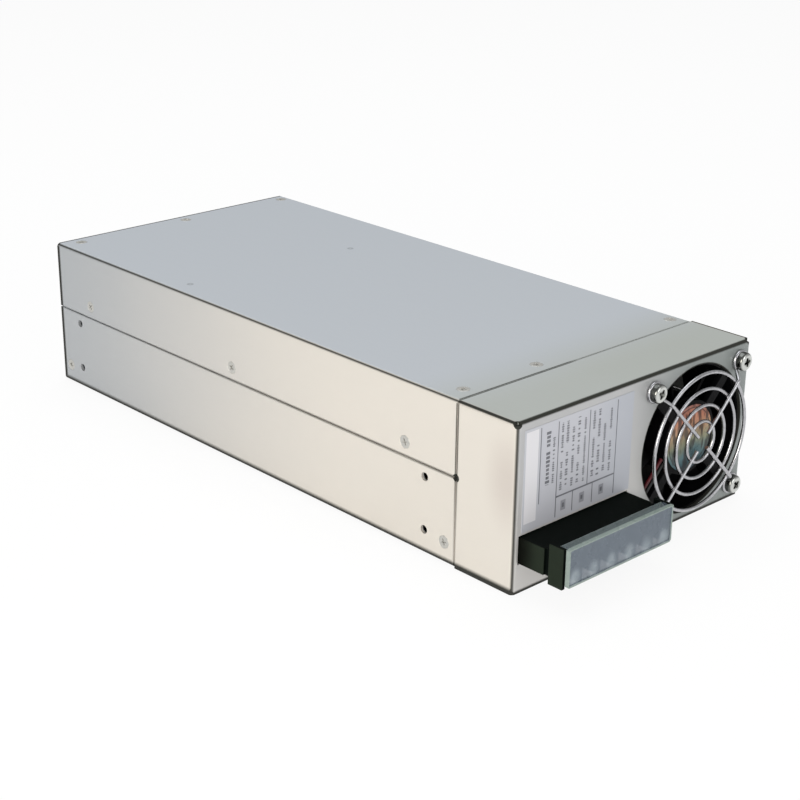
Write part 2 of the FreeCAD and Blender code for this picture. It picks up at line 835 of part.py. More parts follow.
# Screws of the case.
def case_screws():
    side_screws, flush_screws, top_screws = [], [], []
    for side, sign in SIDES.items():
        faces = (f"{sign}inner_half", f"{sign}half_width")
        for step, y in enumerate(SIDE_SCREW_Y):
            side_screws.append(case_screw(f"{side}_cover_screw_{step}", "x", (y, SIDE_SCREW_Z), *faces))
        for step, y in enumerate(FLUSH_SCREW_Y):
            centre = (y, "flush_screw_height")
            flush_screws.append(case_screw(f"{side}_chassis_screw_{step}", "x", centre, *faces))
    for row, xs, y in (("front", TOP_SCREW_X, TOP_SCREW_Y), ("rear", REAR_SCREW_X, REAR_SCREW_Y)):
        for step, x in enumerate(xs):
            top_screws.append(case_screw(f"{row}_top_screw_{step}", "z", (x, y), "lid_inside", "case_height"))
    group("cover_side_screws", side_screws)
    group("cover_top_screws", top_screws)
    group("chassis_side_screws", flush_screws)


def fan_corners():
    """Numbered places of the fan's four screws."""
    signs = [(across, up) for across in "-+" for up in "-+"]
    half = "fan_screw_pitch / 2"
    return [(step, (f"fan_x {a} {half}", f"fan_z {b} {half}")) for step, (a, b) in enumerate(signs)]


def diagonal(name, slope, along, offset, y):
    """Box turned 45 degrees about the fan's axis, rising to the right (slope 1) or to the left (slope -1)."""
    item = doc.addObject("Part::Box", name)
    for side, (low, high) in (("Length", along), ("Width", y), ("Height", offset)):
        item.setExpression(side, bound(f"({high}) - ({low})"))
    item.Placement = Placement(Vector(), Rotation(Vector(0, 1, 0), -45 * slope))
    x, z = across_fan(along[0], offset[0], slope)
    for letter, text in (("x", x), ("y", y[0]), ("z", z)):
        item.setExpression(f"Placement.Base.{letter}", bound(text))
    return item


def across_fan(along, offset, slope=1):
    """Place at a distance along a diagonal through the fan's axis, and at an offset to its upper side."""
    return (
        f"fan_x + (({along}) - {slope} * ({offset})) / sqrt(2)",
        f"fan_z + ({slope} * ({along}) + ({offset})) / sqrt(2)",
    )


# Fan: open frame with motor base and struts towards the panel, and a bladed rotor on a sleeve bearing.
def fan():
    centre = ("fan_x", "fan_z")
    square = [(f"fan_{along} - fan_size / 2", f"fan_{along} + fan_size / 2") for along in "xz"]
    flanges = []
    for end, (low, high) in {
        "front": ("panel_inside", "panel_inside + fan_flange"),
        "back": ("fan_back - fan_flange", "fan_back"),
    }.items():
        (left, right), (base, top) = square
        corners = [
            (f"{left} + fan_corner_cut", base),
            (f"{right} - fan_corner_cut", base),
            (right, f"{base} + fan_corner_cut"),
            (right, f"{top} - fan_corner_cut"),
            (f"{right} - fan_corner_cut", top),
            (f"{left} + fan_corner_cut", top),
            (left, f"{top} - fan_corner_cut"),
            (left, f"{base} + fan_corner_cut"),
        ]
        flanges.append(padded(f"fan_{end}_flange", "XZ", corners, low, high))
    barrel = peg("fan_barrel", "y", centre, "fan_barrel_radius", "panel_inside", "fan_back", WIDE_SIDES)
    reach = (f"panel_inside - {BEYOND}", f"fan_back + {BEYOND}")
    bore = peg("fan_bore", "y", centre, "fan_bore_radius", *reach, WIDE_SIDES)
    ring = carved("fan_ring", joined("fan_walls", [*flanges, barrel]), [bore])
    base_span = ("panel_inside + foil_gauge + fit_gap", "motor_base")
    base = peg("fan_motor_base", "y", centre, "motor_base_radius", *base_span, WIDE_SIDES)
    strut_along = ("-(fan_bore_radius + fan_barrel_radius) / 2", "(fan_bore_radius + fan_barrel_radius) / 2")
    strut_offset = ("-strut_width / 2", "strut_width / 2")
    struts = [
        diagonal(f"fan_strut_{step}", slope, strut_along, strut_offset, base_span)
        for step, slope in enumerate((1, -1))
    ]
    bearing_end = "motor_base + bearing_length"
    tube_span = ("panel_inside + motor_base_depth / 2", bearing_end)
    tube = peg("fan_tube", "y", centre, "bearing_tube_radius", *tube_span, DRUM_SIDES)
    bore_span = ("motor_base", f"{bearing_end} + {BEYOND}")
    tube_bore = peg("fan_tube_bore", "y", centre, "bearing_radius + press_gap", *bore_span, DRUM_SIDES)
    corner_holes = []
    for step, place in fan_corners():
        corner_holes.append(peg(f"fan_hole_{step}", "y", place, "fan_hole_radius", *reach))
    notch_end = "-(lead_turn + lead_radius + lead_notch_room)"
    notch_along = (notch_end, "(fan_barrel_radius - 2 * fan_bore_radius)")
    notch_offset = (
        "lead_offset - lead_radius - lead_notch_room",
        "lead_offset + lead_pitch + lead_radius + lead_notch_room",
    )
    notches = [
        diagonal("lead_front_notch", 1, notch_along, notch_offset, (reach[0], "lead_y + lead_bend")),
        diagonal(
            "lead_back_notch",
            1,
            (notch_end, "-fan_barrel_radius"),
            notch_offset,
            ("fan_back - 2 * fan_flange", reach[1]),
        ),
    ]
    frame = joined("fan_casting", [ring, base, *struts, tube])
    node("fan_frame", carved("fan_frame", frame, [tube_bore, *corner_holes, *notches]))

    sleeve = peg("bearing_sleeve", "y", centre, "bearing_radius", "motor_base", bearing_end, DRUM_SIDES)
    sleeve_bore = rod("bearing_bore", "y", centre, "shaft_radius + running_gap", *reach)
    node("fan_bearing", carved("fan_bearing", sleeve, [sleeve_bore]))
    node("fan_shaft", rod("fan_shaft", "y", centre, "shaft_radius", "motor_base + fit_gap", "hub_back"))

    stator_span = ("hub_front + hub_front_gap", "hub_front + hub_front_gap + stator_length")
    stator_radius = "hub_inner - magnet_wall - stator_gap"
    lamination = peg("stator_disc", "y", centre, stator_radius, *stator_span, DRUM_SIDES)
    eye = peg("stator_eye", "y", centre, "bearing_tube_radius + press_gap", *reach, DRUM_SIDES)
    slots = []
    for name, along, across in (("x", "fan_x", "fan_z"), ("z", "fan_z", "fan_x")):
        for sign in "-+":
            run = [f"{along} {sign} hub_radius", f"{along} {sign} (hub_inner + bearing_tube_radius) / 2"]
            run.sort(key=value)
            wide = (f"{across} - stator_slot / 2", f"{across} + stator_slot / 2")
            box = (run, reach, wide) if name == "x" else (wide, reach, run)
            slots.append(slab(f"stator_slot_{name}_{'low' if sign == '-' else 'high'}", *box))
    node("fan_stator", carved("fan_stator", lamination, [eye, *slots]))

    magnet_span = ("hub_floor - press_gap - magnet_length", "hub_floor - press_gap")
    magnet = peg("magnet_ring", "y", centre, "hub_inner - press_gap", *magnet_span, DRUM_SIDES)
    magnet_bore = peg("magnet_bore", "y", centre, "hub_inner - magnet_wall", *reach, DRUM_SIDES)
    node("fan_magnet", carved("fan_magnet", magnet, [magnet_bore]))
    node("fan_rotor", rotor())

    foil_span = ("panel_inside + fit_gap", "panel_inside + fit_gap + foil_gauge")
    node("fan_label", peg("fan_label", "y", centre, "fan_foil_radius", *foil_span, WIDE_SIDES))

    seat = "-half_length - 2 * guard_wire_radius"
    screws = [screw(f"fan_screw_{step}", "y", place, seat, -1, "fan_screw") for step, place in fan_corners()]
    group("fan_screws", screws)


def rotor():
    """Hub cup with twisted blades that end on the swept circle."""
    body = doc.addObject("PartDesign::Body", "rotor_body")
    for letter, text in (("x", "fan_x"), ("y", "(hub_front + hub_back) / 2"), ("z", "fan_z")):
        body.setExpression(f"Placement.Base.{letter}", bound(text))
    disc = body.newObject("Sketcher::SketchObject", "hub_core_circle")
    disc.AttachmentSupport = (origin_part(body, "XZ_Plane"), [""])
    disc.MapMode = "FlatFace"
    disc.setExpression("AttachmentOffset.Base.z", bound("-(hub_back - hub_front) / 2"))
    disc.addGeometry(Part.Circle(Vector(), Vector(0, 0, 1), value("hub_inner")))
    disc.addConstraint(Sketcher.Constraint("Coincident", 0, 3, -1, 1))
    tie = disc.addConstraint(Sketcher.Constraint("Radius", 0, value("hub_inner")))
    disc.setExpression(f"Constraints[{tie}]", bound(f"hub_inner * cos(180 / {WIDE_SIDES}) - press_gap"))
    core = body.newObject("PartDesign::Pad", "hub_core")
    core.Profile = disc
    core.setExpression("Length", bound("hub_back - hub_front"))
    chord = ("blade_root_chord / 2", "blade_tip_chord / 2")
    radii = ("hub_inner - hub_wall", "fan_bore_radius + blade_tip_gap")
    profile = outline(
        body,
        "XZ",
        [
            (f"-{chord[0]}", radii[0]),
            (chord[0], radii[0]),
            (f"blade_sweep + {chord[1]}", radii[1]),
            (f"blade_sweep - {chord[1]}", radii[1]),
        ],
        "0",
    )
    profile.AttachmentOffset = Placement(Vector(), Rotation(Vector(0, 1, 0), value("blade_pitch")))
    profile.setExpression("AttachmentOffset.Rotation.Angle", bound("blade_pitch"))
    blade = body.newObject("PartDesign::Pad", "blade")
    blade.Profile = profile
    blade.SideType = "Symmetric"
    blade.setExpression("Length", bound("blade_thickness"))
    doc.recompute()
    blades = body.newObject("PartDesign::PolarPattern", "blades")
    blades.Originals = [blade]
    blades.Axis = (origin_part(body, "Y_Axis"), [""])
    blades.Angle = 360
    blades.Occurrences = round(value("blade_count"))
    body.Tip = blades
    doc.recompute()
    centre = ("fan_x", "fan_z")
    swept = peg("rotor_sweep", "y", centre, "blade_tip_radius", "hub_front", "hub_back", WIDE_SIDES)
    trimmed = doc.addObject("Part::Common", "rotor_trimmed")
    trimmed.Base = body
    trimmed.Tool = swept
    hub = peg("rotor_hub", "y", centre, "hub_radius", "hub_front", "hub_back", WIDE_SIDES)
    cup = peg("rotor_cup", "y", centre, "hub_inner", f"hub_front - {BEYOND}", "hub_floor", WIDE_SIDES)
    bore = rod("rotor_bore", "y", centre, "shaft_radius + press_gap", "hub_front", f"hub_back + {BEYOND}")
    return carved("fan_rotor", joined("rotor_wheel", [trimmed, hub]), [cup, bore])


def wire_shape(points, radius, bend=0):
    """Wire through the given points, its corners mitred or bent to a radius."""
    legs = []
    start = points[0]
    for before, corner, after in zip(points, points[1:], points[2:]):
        if not bend:
            legs.append(Part.makeLine(start, corner))
            start = corner
            continue
        inward, onward = (corner - before).normalize(), (after - corner).normalize()
        enter, leave = corner - inward * bend, corner + onward * bend
        middle = corner + (onward - inward) * bend - (onward - inward).normalize() * bend
        legs += [Part.makeLine(start, enter), Part.Arc(enter, middle, leave).toShape()]
        start = leave
    legs.append(Part.makeLine(start, points[-1]))
    direction = (points[1] - points[0]).normalize()
    upright = Vector(0, 1, 0) if abs(direction.y) < 0.5 else Vector(0, 0, 1)
    section = Part.makePolygon([
        points[0] + Rotation(direction, 360 / WIRE_SIDES * corner) * (upright * radius)
        for corner in [*range(WIRE_SIDES), 0]
    ])
    pipe = Part.BRepOffsetAPI.MakePipeShell(Part.Wire(legs))
    pipe.setTransitionMode(1)
    pipe.add(Part.Wire(section))
    pipe.build()
    pipe.makeSolid()
    return pipe.shape()


def fixed(name, shape, place=Placement()):
    """Document object for a shape that no parametric feature makes."""
    item = doc.addObject("Part::Feature", name)
    item.Shape = shape
    item.Placement = place
    return item


# Finger guard: four wire rings welded behind four spokes that bend down to eyes under the fan's screws.
def finger_guard():
    wire = value("guard_wire_radius")
    pieces = []
    for step in range(round(value("guard_ring_count"))):
        name = f"guard_ring_{step}"
        centre = ("fan_x", "fan_z")
        sides = ROUND_SIDES + 4 * (step + 1)
        radius = f"guard_inner_radius + {step} * guard_ring_pitch"
        inner = f"{radius} - guard_wire_radius"
        rim = ("guard_y - guard_wire_radius", "guard_y + guard_wire_radius")
        disc = peg(f"{name}_disc", "y", centre, f"{radius} + guard_wire_radius", *rim, sides)
        hole = peg(f"{name}_hole", "y", centre, inner, f"{rim[0]} - {BEYOND}", f"{rim[1]} + {BEYOND}", sides)
        pieces.append(carved(name, disc, [hole]))
    start = Vector(value("guard_spoke_start"), value("spoke_y"), 0)
    shoulder = Vector(value("guard_shoulder_radius"), value("spoke_y"), 0)
    eye_edge = value("fan_screw_pitch / sqrt(2) - guard_eye_radius - fit_gap")
    foot = Vector(eye_edge, value("-half_length") - wire, 0)
    spoke = wire_shape([start, shoulder, foot], wire)
    for step in range(4):
        turn = Rotation(Vector(0, 1, 0), 45 + 90 * step)
        place = Placement(Vector(value("fan_x"), 0, value("fan_z")), turn)
        pieces.append(fixed(f"guard_spoke_{step}", spoke, place))
    eye_span = ("-half_length - 2 * guard_wire_radius", "-half_length")
    for step, place in fan_corners():
        eye = peg(f"guard_eye_{step}_disc", "y", place, "guard_eye_radius", *eye_span)
        reach = (f"{eye_span[0]} - {BEYOND}", "0")
        hole = peg(f"guard_eye_{step}_hole", "y", place, "fan_screw_radius + fit_gap", *reach)
        pieces.append(carved(f"guard_eye_{step}", eye, [hole]))
    node("finger_guard", joined("finger_guard", pieces))


# Fan leads: two wires from the motor base along a strut, back past the frame's notches, to a plug.
def fan_leads():
    plug_x = across_fan("-lead_turn", "lead_offset + lead_pitch / 2")[0]
    plug_y = "(board_front + fan_plug_setback)"
    for step, colour in enumerate(("black", "red")):
        offset = f"(lead_offset + {step} * lead_pitch)"
        rim = f"-(sqrt(motor_base_radius ^ 2 - ({offset} - lead_radius) ^ 2) + fit_gap)"
        points = []
        for along, y in ((rim, "lead_y"), ("-lead_turn", "lead_y"), ("-lead_turn", plug_y)):
            x, z = across_fan(along, offset)
            points.append(Vector(value(x), value(y), value(z)))
        lead = wire_shape(points, value("lead_radius"), value("lead_bend"))
        node(f"fan_lead_{colour}", fixed(f"fan_lead_{colour}", lead))
    node(
        "fan_plug",
        on_board(
            "fan_plug",
            (f"{plug_x} - fan_plug_width / 2", f"{plug_x} + fan_plug_width / 2"),
            (plug_y, f"{plug_y} + fan_plug_length"),
            "fan_plug_height",
        ),
    )


def pole(index):
    """Centre line of one pole of the terminal block."""
    return f"block_left + ({index} + 0.5) * pole_pitch"


POLES = range(round(value("pole_count")))


# Terminal block: moulded base through the panel window, barrier walls, and end walls that carry the lid.
def terminal_block():
    base = padded(
        "block_base",
        "YZ",
        [
            ("block_back", "board_top"),
            ("block_back", "block_high"),
            ("block_nose", "block_high"),
            ("block_nose", "block_low"),
            ("panel_inside + fit_gap", "block_low"),
            ("panel_inside + fit_gap", "board_top"),
        ],
        "block_left",
        "block_right",
    )
    depth = ("barrier_nose", "block_nose + barrier_wall")
    walls = []
    for index in POLES[1:]:
        x = f"block_left + {index} * pole_pitch"
        wide = (f"{x} - barrier_wall / 2", f"{x} + barrier_wall / 2")
        walls.append(slab(f"barrier_{index}", wide, depth, ("barrier_low", "barrier_high")))
    ends = {
        "left": ("block_left", "block_left + barrier_wall"),
        "right": ("block_right - barrier_wall", "block_right"),
    }
    cuts = []
    for side, wide in ends.items():
        ear = ("barrier_nose", "block_nose")
        walls.append(slab(f"block_{side}_end", wide, ear, ("barrier_low", "ear_high")))
        if side == "left":
            outer = (f"{wide[0]} - fit_gap", f"{wide[0]} + end_groove_depth")
            pivot = (f"{wide[0]} + hinge_seat_wall", f"{wide[1]} + fit_gap")
        else:
            outer = (f"{wide[1]} - end_groove_depth", f"{wide[1]} + fit_gap")
            pivot = (f"{wide[0]} - fit_gap", f"{wide[1]} - hinge_seat_wall")
        groove = ("block_nose", "block_nose + end_groove")
        cuts.append(slab(f"block_{side}_groove", outer, groove, ("0", "ear_high + fit_gap")))
        radius = "hinge_pin_radius + running_gap"
        cuts.append(rod(f"block_{side}_pivot", "x", ("hinge_y", "hinge_z"), radius, *pivot))
    for index in POLES:
        x = pole(index)
        pocket = (f"{x} - screw_pocket / 2", f"{x} + screw_pocket / 2")
        tall = ("terminal_z - screw_pocket / 2", "terminal_z + screw_pocket / 2")
        deep = ("block_nose - fit_gap", "block_nose + terminal_screw_length")
        cuts.append(slab(f"block_pocket_{index}", pocket, deep, tall))
        slot = (f"{x} - contact_pin_width / 2 - fit_gap", f"{x} + contact_pin_width / 2 + fit_gap")
        level = ("block_low + contact_gauge - fit_gap", "block_low + 2 * contact_gauge + fit_gap")
        through = ("block_nose - fit_gap", "block_back + fit_gap")
        cuts.append(slab(f"block_slot_{index}", slot, through, level))
    node("terminal_block", carved("terminal_block", joined("block_body", [base, *walls]), cuts))


# Contacts, clamps and screws of the poles.
def terminal_metal():
    contacts, clamps, screws = [], [], []
    for index in POLES:
        x = pole(index)
        wide = (f"{x} - contact_width / 2", f"{x} + contact_width / 2")
        face = ("block_nose - contact_gauge", "block_nose")
        tall = ("block_low + fit_gap", "terminal_z + clamp_size / 2")
        plate = slab(f"contact_plate_{index}", wide, face, tall)
        narrow = (f"{x} - contact_pin_width / 2", f"{x} + contact_pin_width / 2")
        leg_y = ("block_back + contact_gauge", "block_back + 2 * contact_gauge")
        bar = slab(
            f"contact_bar_{index}",
            narrow,
            ("block_nose - contact_gauge", leg_y[1]),
            ("block_low + contact_gauge", "block_low + 2 * contact_gauge"),
        )
        leg = slab(f"contact_leg_{index}", narrow, leg_y, ("board_top", "block_low + 2 * contact_gauge"))
        centre = (x, "terminal_z")
        through = (f"{face[0]} - {BEYOND}", f"{face[1]} + {BEYOND}")
        hole = peg(f"contact_hole_{index}", "y", centre, "terminal_screw_radius + fit_gap", *through)
        strip = joined(f"contact_strip_{index}", [plate, bar, leg])
        contacts.append(carved(f"contact_{index}", strip, [hole]))
        square = (f"{x} - clamp_size / 2", f"{x} + clamp_size / 2")
        clamp_y = ("block_nose - contact_gauge - clamp_gauge", "block_nose - contact_gauge")
        level = ("terminal_z - clamp_size / 2", "terminal_z + clamp_size / 2")
        clamp = slab(f"clamp_plate_{index}", square, clamp_y, level)
        through = (f"{clamp_y[0]} - {BEYOND}", f"{clamp_y[1]} + {BEYOND}")
        clamp_hole = peg(f"clamp_hole_{index}", "y", centre, "terminal_screw_radius + fit_gap", *through)
        clamps.append(carved(f"clamp_{index}", clamp, [clamp_hole]))
        screws.append(screw(f"terminal_screw_{index}", "y", centre, clamp_y[0], -1, "terminal_screw"))
    group("terminal_contacts", contacts)
    group("terminal_clamps", clamps)
    group("terminal_screws", screws)


# Clear lid of the terminal block: front plate, top flange, and a hinge barrel with a pin at each end.
def terminal_cover():
    low = "barrier_low + lid_foot_rise"
    top = "hinge_z + hinge_barrel_radius"
    wide = ("block_left + lid_inset", "block_right - lid_inset")
    plate = slab("lid_plate", wide, ("lid_face", "lid_inner"), (low, top))
    between = ("block_left + barrier_wall + lid_side_gap", "block_right - barrier_wall - lid_side_gap")
    flange = slab("lid_flange", between, ("lid_face", "hinge_y"), (f"{top} - lid_gauge", top))
    centre = ("hinge_y", "hinge_z")
    barrel = peg("lid_barrel", "x", centre, "hinge_barrel_radius", *between)
    pins = ("block_left + hinge_seat_wall + lid_side_gap", "block_right - hinge_seat_wall - lid_side_gap")
    pin = rod("lid_pin", "x", centre, "hinge_pin_radius", *pins)
    node("terminal_cover", joined("terminal_cover", [plate, flange, barrel, pin]))


# Printed foil on the front panel, above the terminal block.
def rating_label():
    node(
        "rating_label",
        slab(
            "rating_label",
            ("block_left + label_margin", "block_right + label_margin"),
            ("-half_length - foil_gauge", "-half_length"),
            ("block_high + block_room + label_margin", "case_height - label_top_margin"),
        ),
    )


BOARD_SCREWS = [
    (f"{sign}(board_half - board_screw_inset)", y)
    for sign in SIDES.values()
    for y in ("board_front + board_screw_inset", "0", "board_rear - board_screw_inset")
]


# Board, its insulating liner, stand-offs and screws.
def board():
    reach = ("0", f"board_top + {BEYOND}")
    plate = padded(
        "board_plate",
        "XY",
        [
            ("-board_half", "board_nose"),
            ("block_right", "board_nose"),
            ("block_right", "board_front"),
            ("board_half", "board_front"),
            ("board_half", "board_rear"),
            ("-board_half", "board_rear"),
        ],
        "board_base",
        "board_top",
    )
    holes, standoffs, screws = [], [], []
    for step, place in enumerate(BOARD_SCREWS):
        holes.append(peg(f"board_hole_{step}", "z", place, "board_screw_radius + fit_gap", *reach))
        tall = ("sheet_gauge", "board_base")
        post = peg(f"standoff_{step}_post", "z", place, "standoff_radius", *tall, sides=6)
        thread = peg(
            f"standoff_{step}_thread",
            "z",
            place,
            "board_screw_radius + fit_gap",
            "board_base - board_screw_length",
            f"board_base + {BEYOND}",
        )
        standoffs.append(carved(f"standoff_{step}", post, [thread]))
        screws.append(screw(f"board_screw_{step}", "z", place, "board_top", 1, "board_screw"))
    node("main_board", carved("main_board", plate, holes))
    liner_half = "(board_half - board_screw_inset - standoff_radius - liner_gap)"
    liner = slab(
        "insulation_sheet",
        (f"-{liner_half}", liner_half),
        ("board_front", "board_rear"),
        ("sheet_gauge", "sheet_gauge + liner_gauge"),
    )
    node("insulation_sheet", liner)
    group("board_standoffs", standoffs)
    group("board_screws", screws)


def on_board(name, x, y, height):
    """Block that stands on the board."""
    return slab(name, x, y, ("board_top", f"board_top + {height}"))


def wound(name, x, y, height, limb):
    """Ferrite core, seen from the side as a frame round one window, and the window's heights."""
    core = on_board(f"{name}_frame", x, y, height)
    level = (f"board_top + {limb}", f"board_top + {height} - {limb}")
    wide = (f"{x[0]} + {limb}", f"{x[1]} - {limb}")
    through = (f"{y[0]} - {BEYOND}", f"{y[1]} + {BEYOND}")
    return carved(f"{name}_core", core, [slab(f"{name}_window", wide, through, level)]), level


def winding(name, limb_x, limb_y, level):
    """Coil round one limb, its outside built up by the winding depth."""
    outer = slab(
        f"{name}_outer",
        (f"{limb_x[0]} - winding_gap - winding_build", f"{limb_x[1]} + winding_gap + winding_build"),
        (f"{limb_y[0]} - winding_gap - winding_build", f"{limb_y[1]} + winding_gap + winding_build"),
        (f"{level[0]} + winding_gap", f"{level[1]} - winding_gap"),
    )
    inner = slab(
        f"{name}_inner",
        (f"{limb_x[0]} - winding_gap", f"{limb_x[1]} + winding_gap"),
        (f"{limb_y[0]} - winding_gap", f"{limb_y[1]} + winding_gap"),
        (f"{level[0]} - {BEYOND}", f"{level[1]} + {BEYOND}"),
    )
    return carved(name, outer, [inner])


# Input filter: fuse in its clips, relay, and two capacitors and two chokes in a row.
def input_filter():
    fuse_y = "board_front - fuse_setback"
    fuse_z = "board_top + fuse_height"
    fuse_x = "fuse_inset - board_half"
    node("fuse", peg("fuse", "x", (fuse_y, fuse_z), "fuse_radius", fuse_x, f"{fuse_x} + fuse_length"))
    clips = []
    for step, start in enumerate((fuse_x, f"{fuse_x} + fuse_length - fuse_clip_width")):
        wide = (start, f"{start} + fuse_clip_width")
        outer = on_board(
            f"clip_{step}_outer",
            wide,
            (f"{fuse_y} - fuse_radius - fuse_clip_gauge", f"{fuse_y} + fuse_radius + fuse_clip_gauge"),
            "fuse_height + fuse_radius",
        )
        inner = slab(
            f"clip_{step}_inner",
            (f"{start} - {BEYOND}", f"{start} + fuse_clip_width + {BEYOND}"),
            (f"{fuse_y} - fuse_radius - press_gap", f"{fuse_y} + fuse_radius + press_gap"),
            ("board_top + fuse_clip_gauge", f"board_top + fuse_height + fuse_radius + {BEYOND}"),
        )
        clips.append(carved(f"clip_{step}", outer, [inner]))
    group("fuse_clips", clips)
    relay_x = f"{fuse_x} + fuse_length + filter_gap"
    relay = on_board(
        "inrush_relay",
        (relay_x, f"{relay_x} + relay_width"),
        (f"{fuse_y} - relay_length / 2", f"{fuse_y} + relay_length / 2"),
        "relay_height",
    )
    node("inrush_relay", relay)
    caps, cores, coils = [], [], []
    stage = "(filter_cap_length + choke_length + 2 * winding_build + 2 * filter_gap)"
    for step in range(2):
        cap_y = f"board_front + filter_gap / 2 + {step} * {stage}"
        caps.append(
            on_board(
                f"filter_cap_{step}",
                ("filter_left", "filter_right"),
                (cap_y, f"{cap_y} + filter_cap_length"),
                "filter_cap_height",
            )
        )
        choke_y = f"{cap_y} + filter_cap_length + filter_gap + winding_build"
        depth = (choke_y, f"{choke_y} + choke_length")
        across = ("filter_left", "filter_right")
        core, level = wound(f"filter_choke_{step}", across, depth, "choke_height", "choke_limb")
        cores.append(core)
        for side, limb_x in (
            ("left", ("filter_left", "filter_left + choke_limb")),
            ("right", ("filter_right - choke_limb", "filter_right")),
        ):
            coils.append(winding(f"filter_coil_{step}_{side}", limb_x, depth, level))
    group("x_capacitors", caps)
    group("filter_choke_cores", cores)
    group("filter_choke_windings", coils)


def finned(name, face, tip, low_y):
    """Extruded heatsink that stands on the board: a base plate with fins on one side."""
    way = "+" if value(tip) > value(face) else "-"
    root = f"{face} {way} sink_base"
    count = round(value("sink_fin_count"))
    step = "(sink_length - sink_fin_gauge) / (sink_fin_count - 1)"
    points = [(face, low_y), (face, f"{low_y} + sink_length")]
    for index in reversed(range(count)):
        fin = f"{low_y} + {index} * {step}"
        points += [(tip, f"{fin} + sink_fin_gauge"), (tip, fin)]
        if index:
            points += [(root, fin), (root, f"{low_y} + {index - 1} * {step} + sink_fin_gauge")]
    return padded(name, "XY", points, "board_top", "board_top + sink_height")


def leaded(name, x, y):
    """Flat power device against a heatsink, with three leads down to the board."""
    body = slab(f"{name}_case", x, y, ("board_top + switch_rise", "board_top + switch_rise + switch_height"))
    mid = f"(({y[0]}) + ({y[1]})) / 2"
    leads = []
    for step in (-1, 0, 1):
        centre = f"{mid} + {step} * switch_width / 3"
        near = (f"({x[0]} + {x[1]}) / 2 - contact_gauge / 2", f"({x[0]} + {x[1]}) / 2 + contact_gauge / 2")
        wide = (f"{centre} - contact_gauge / 2", f"{centre} + contact_gauge / 2")
        tall = ("board_top", "board_top + switch_rise + contact_gauge")
        leads.append(slab(f"{name}_lead_{step + 1}", near, wide, tall))
    return joined(name, [body, *leads])


# Mains side power stage: heatsink with bridge and transistors, boost choke, and bulk capacitors.
def mains_stage():
    sink_y = "board_front + filter_gap"
    node("primary_heatsink", finned("primary_heatsink", "sink_face", "sink_left", sink_y))
    device_x = ("sink_face", "sink_face + switch_gauge")
    bridge_y = (f"{sink_y} + winding_build", f"{sink_y} + winding_build + bridge_length")
    node("bridge_rectifier", leaded("bridge_rectifier", device_x, bridge_y))
    switches = []
    for step in range(3):
        start = f"{bridge_y[1]} + winding_build + {step} * switch_pitch"
        switches.append(leaded(f"switch_{step}", device_x, (start, f"{start} + switch_width")))
    group("pfc_transistors", switches)
    bulk = []
    for step in range(2):
        centre = ("board_half - bulk_inset", f"board_front + bulk_setback + {step} * bulk_pitch")
        tall = ("board_top", "board_top + bulk_height")
        bulk.append(peg(f"bulk_{step}", "z", centre, "bulk_radius", *tall, DRUM_SIDES))
    group("bulk_capacitors", bulk)
    boost_x = (
        f"{device_x[1]} + boost_device_gap",
        "board_half - bulk_inset - bulk_radius - boost_bulk_gap",
    )
    boost_y = ("board_front + boost_setback", "board_front + boost_setback + boost_length")
    framed("pfc_choke", boost_x, boost_y, "boost_height", "core_limb")


def framed(name, x, y, height, limb):
    """Two-window core along Y with one winding round its middle limb, each in its own node."""
    core = on_board(f"{name}_frame", x, y, height)
    low_y, high_y = y
    width = f"(({high_y}) - ({low_y}) - 4 * {limb}) / 2"
    level = (f"board_top + {limb}", f"board_top + {height} - {limb}")
    through = (f"{x[0]} - {BEYOND}", f"{x[1]} + {BEYOND}")
    starts = (f"{low_y} + {limb}", f"{high_y} - {limb} - {width}")
    cuts = []
    for step, start in enumerate(starts):
        cuts.append(slab(f"{name}_window_{step}", through, (start, f"{start} + {width}"), level))
    node(f"{name}_core", carved(f"{name}_core", core, cuts))
    limb_y = (f"{starts[0]} + {width}", starts[1])
    node(f"{name}_winding", winding(f"{name}_winding", x, limb_y, level))


# Output side: transformer, rectifiers on their heatsink, output choke and capacitors, control board.
def output_stage():
    half = "transformer_width / 2"
    rear = "board_rear - transformer_rear"
    transformer_y = (f"{rear} - transformer_length", rear)
    framed("transformer", (f"-{half}", half), transformer_y, "transformer_height", "core_limb")
    sink_y = "board_rear - output_sink_rear - sink_length"
    node("secondary_heatsink", finned("secondary_heatsink", "output_sink_face", "output_sink_right", sink_y))
    rectifiers = []
    for step in range(4):
        start = f"{sink_y} + winding_build + {step} * switch_pitch"
        x = ("output_sink_face - switch_gauge", "output_sink_face")
        rectifiers.append(leaded(f"rectifier_{step}", x, (start, f"{start} + switch_width")))
    group("output_rectifiers", rectifiers)
    choke_x = ("output_choke_left - board_half", "output_choke_left - board_half + output_choke_width")
    choke_rear = "board_rear - output_choke_rear"
    choke_y = (f"{choke_rear} - output_choke_length", choke_rear)
    framed("output_choke", choke_x, choke_y, "output_choke_height", "core_limb")
    caps = []
    for step in range(3):
        centre = (f"output_cap_left - board_half + {step} * output_cap_pitch", "board_rear - output_cap_rear")
        top = "board_top + output_cap_height"
        caps.append(peg(f"output_cap_{step}", "z", centre, "output_cap_radius", "board_top", top, DRUM_SIDES))
    group("output_capacitors", caps)
    card_x = ("control_left - board_half", "control_left - board_half + board_gauge")
    card_y = "board_rear - control_rear - control_length"
    card = on_board("control_board", card_x, (card_y, f"{card_y} + control_length"), "control_height")
    node("control_board", card)
    chips = []
    for step in range(3):
        start = f"{card_y} + chip_length + {step} * chip_pitch"
        level = "board_top + control_height / 2"
        chips.append(
            slab(
                f"chip_{step}",
                (card_x[1], f"{card_x[1]} + chip_gauge"),
                (start, f"{start} + chip_length"),
                (level, f"{level} + chip_height"),
            )
        )
    group("control_chips", chips)


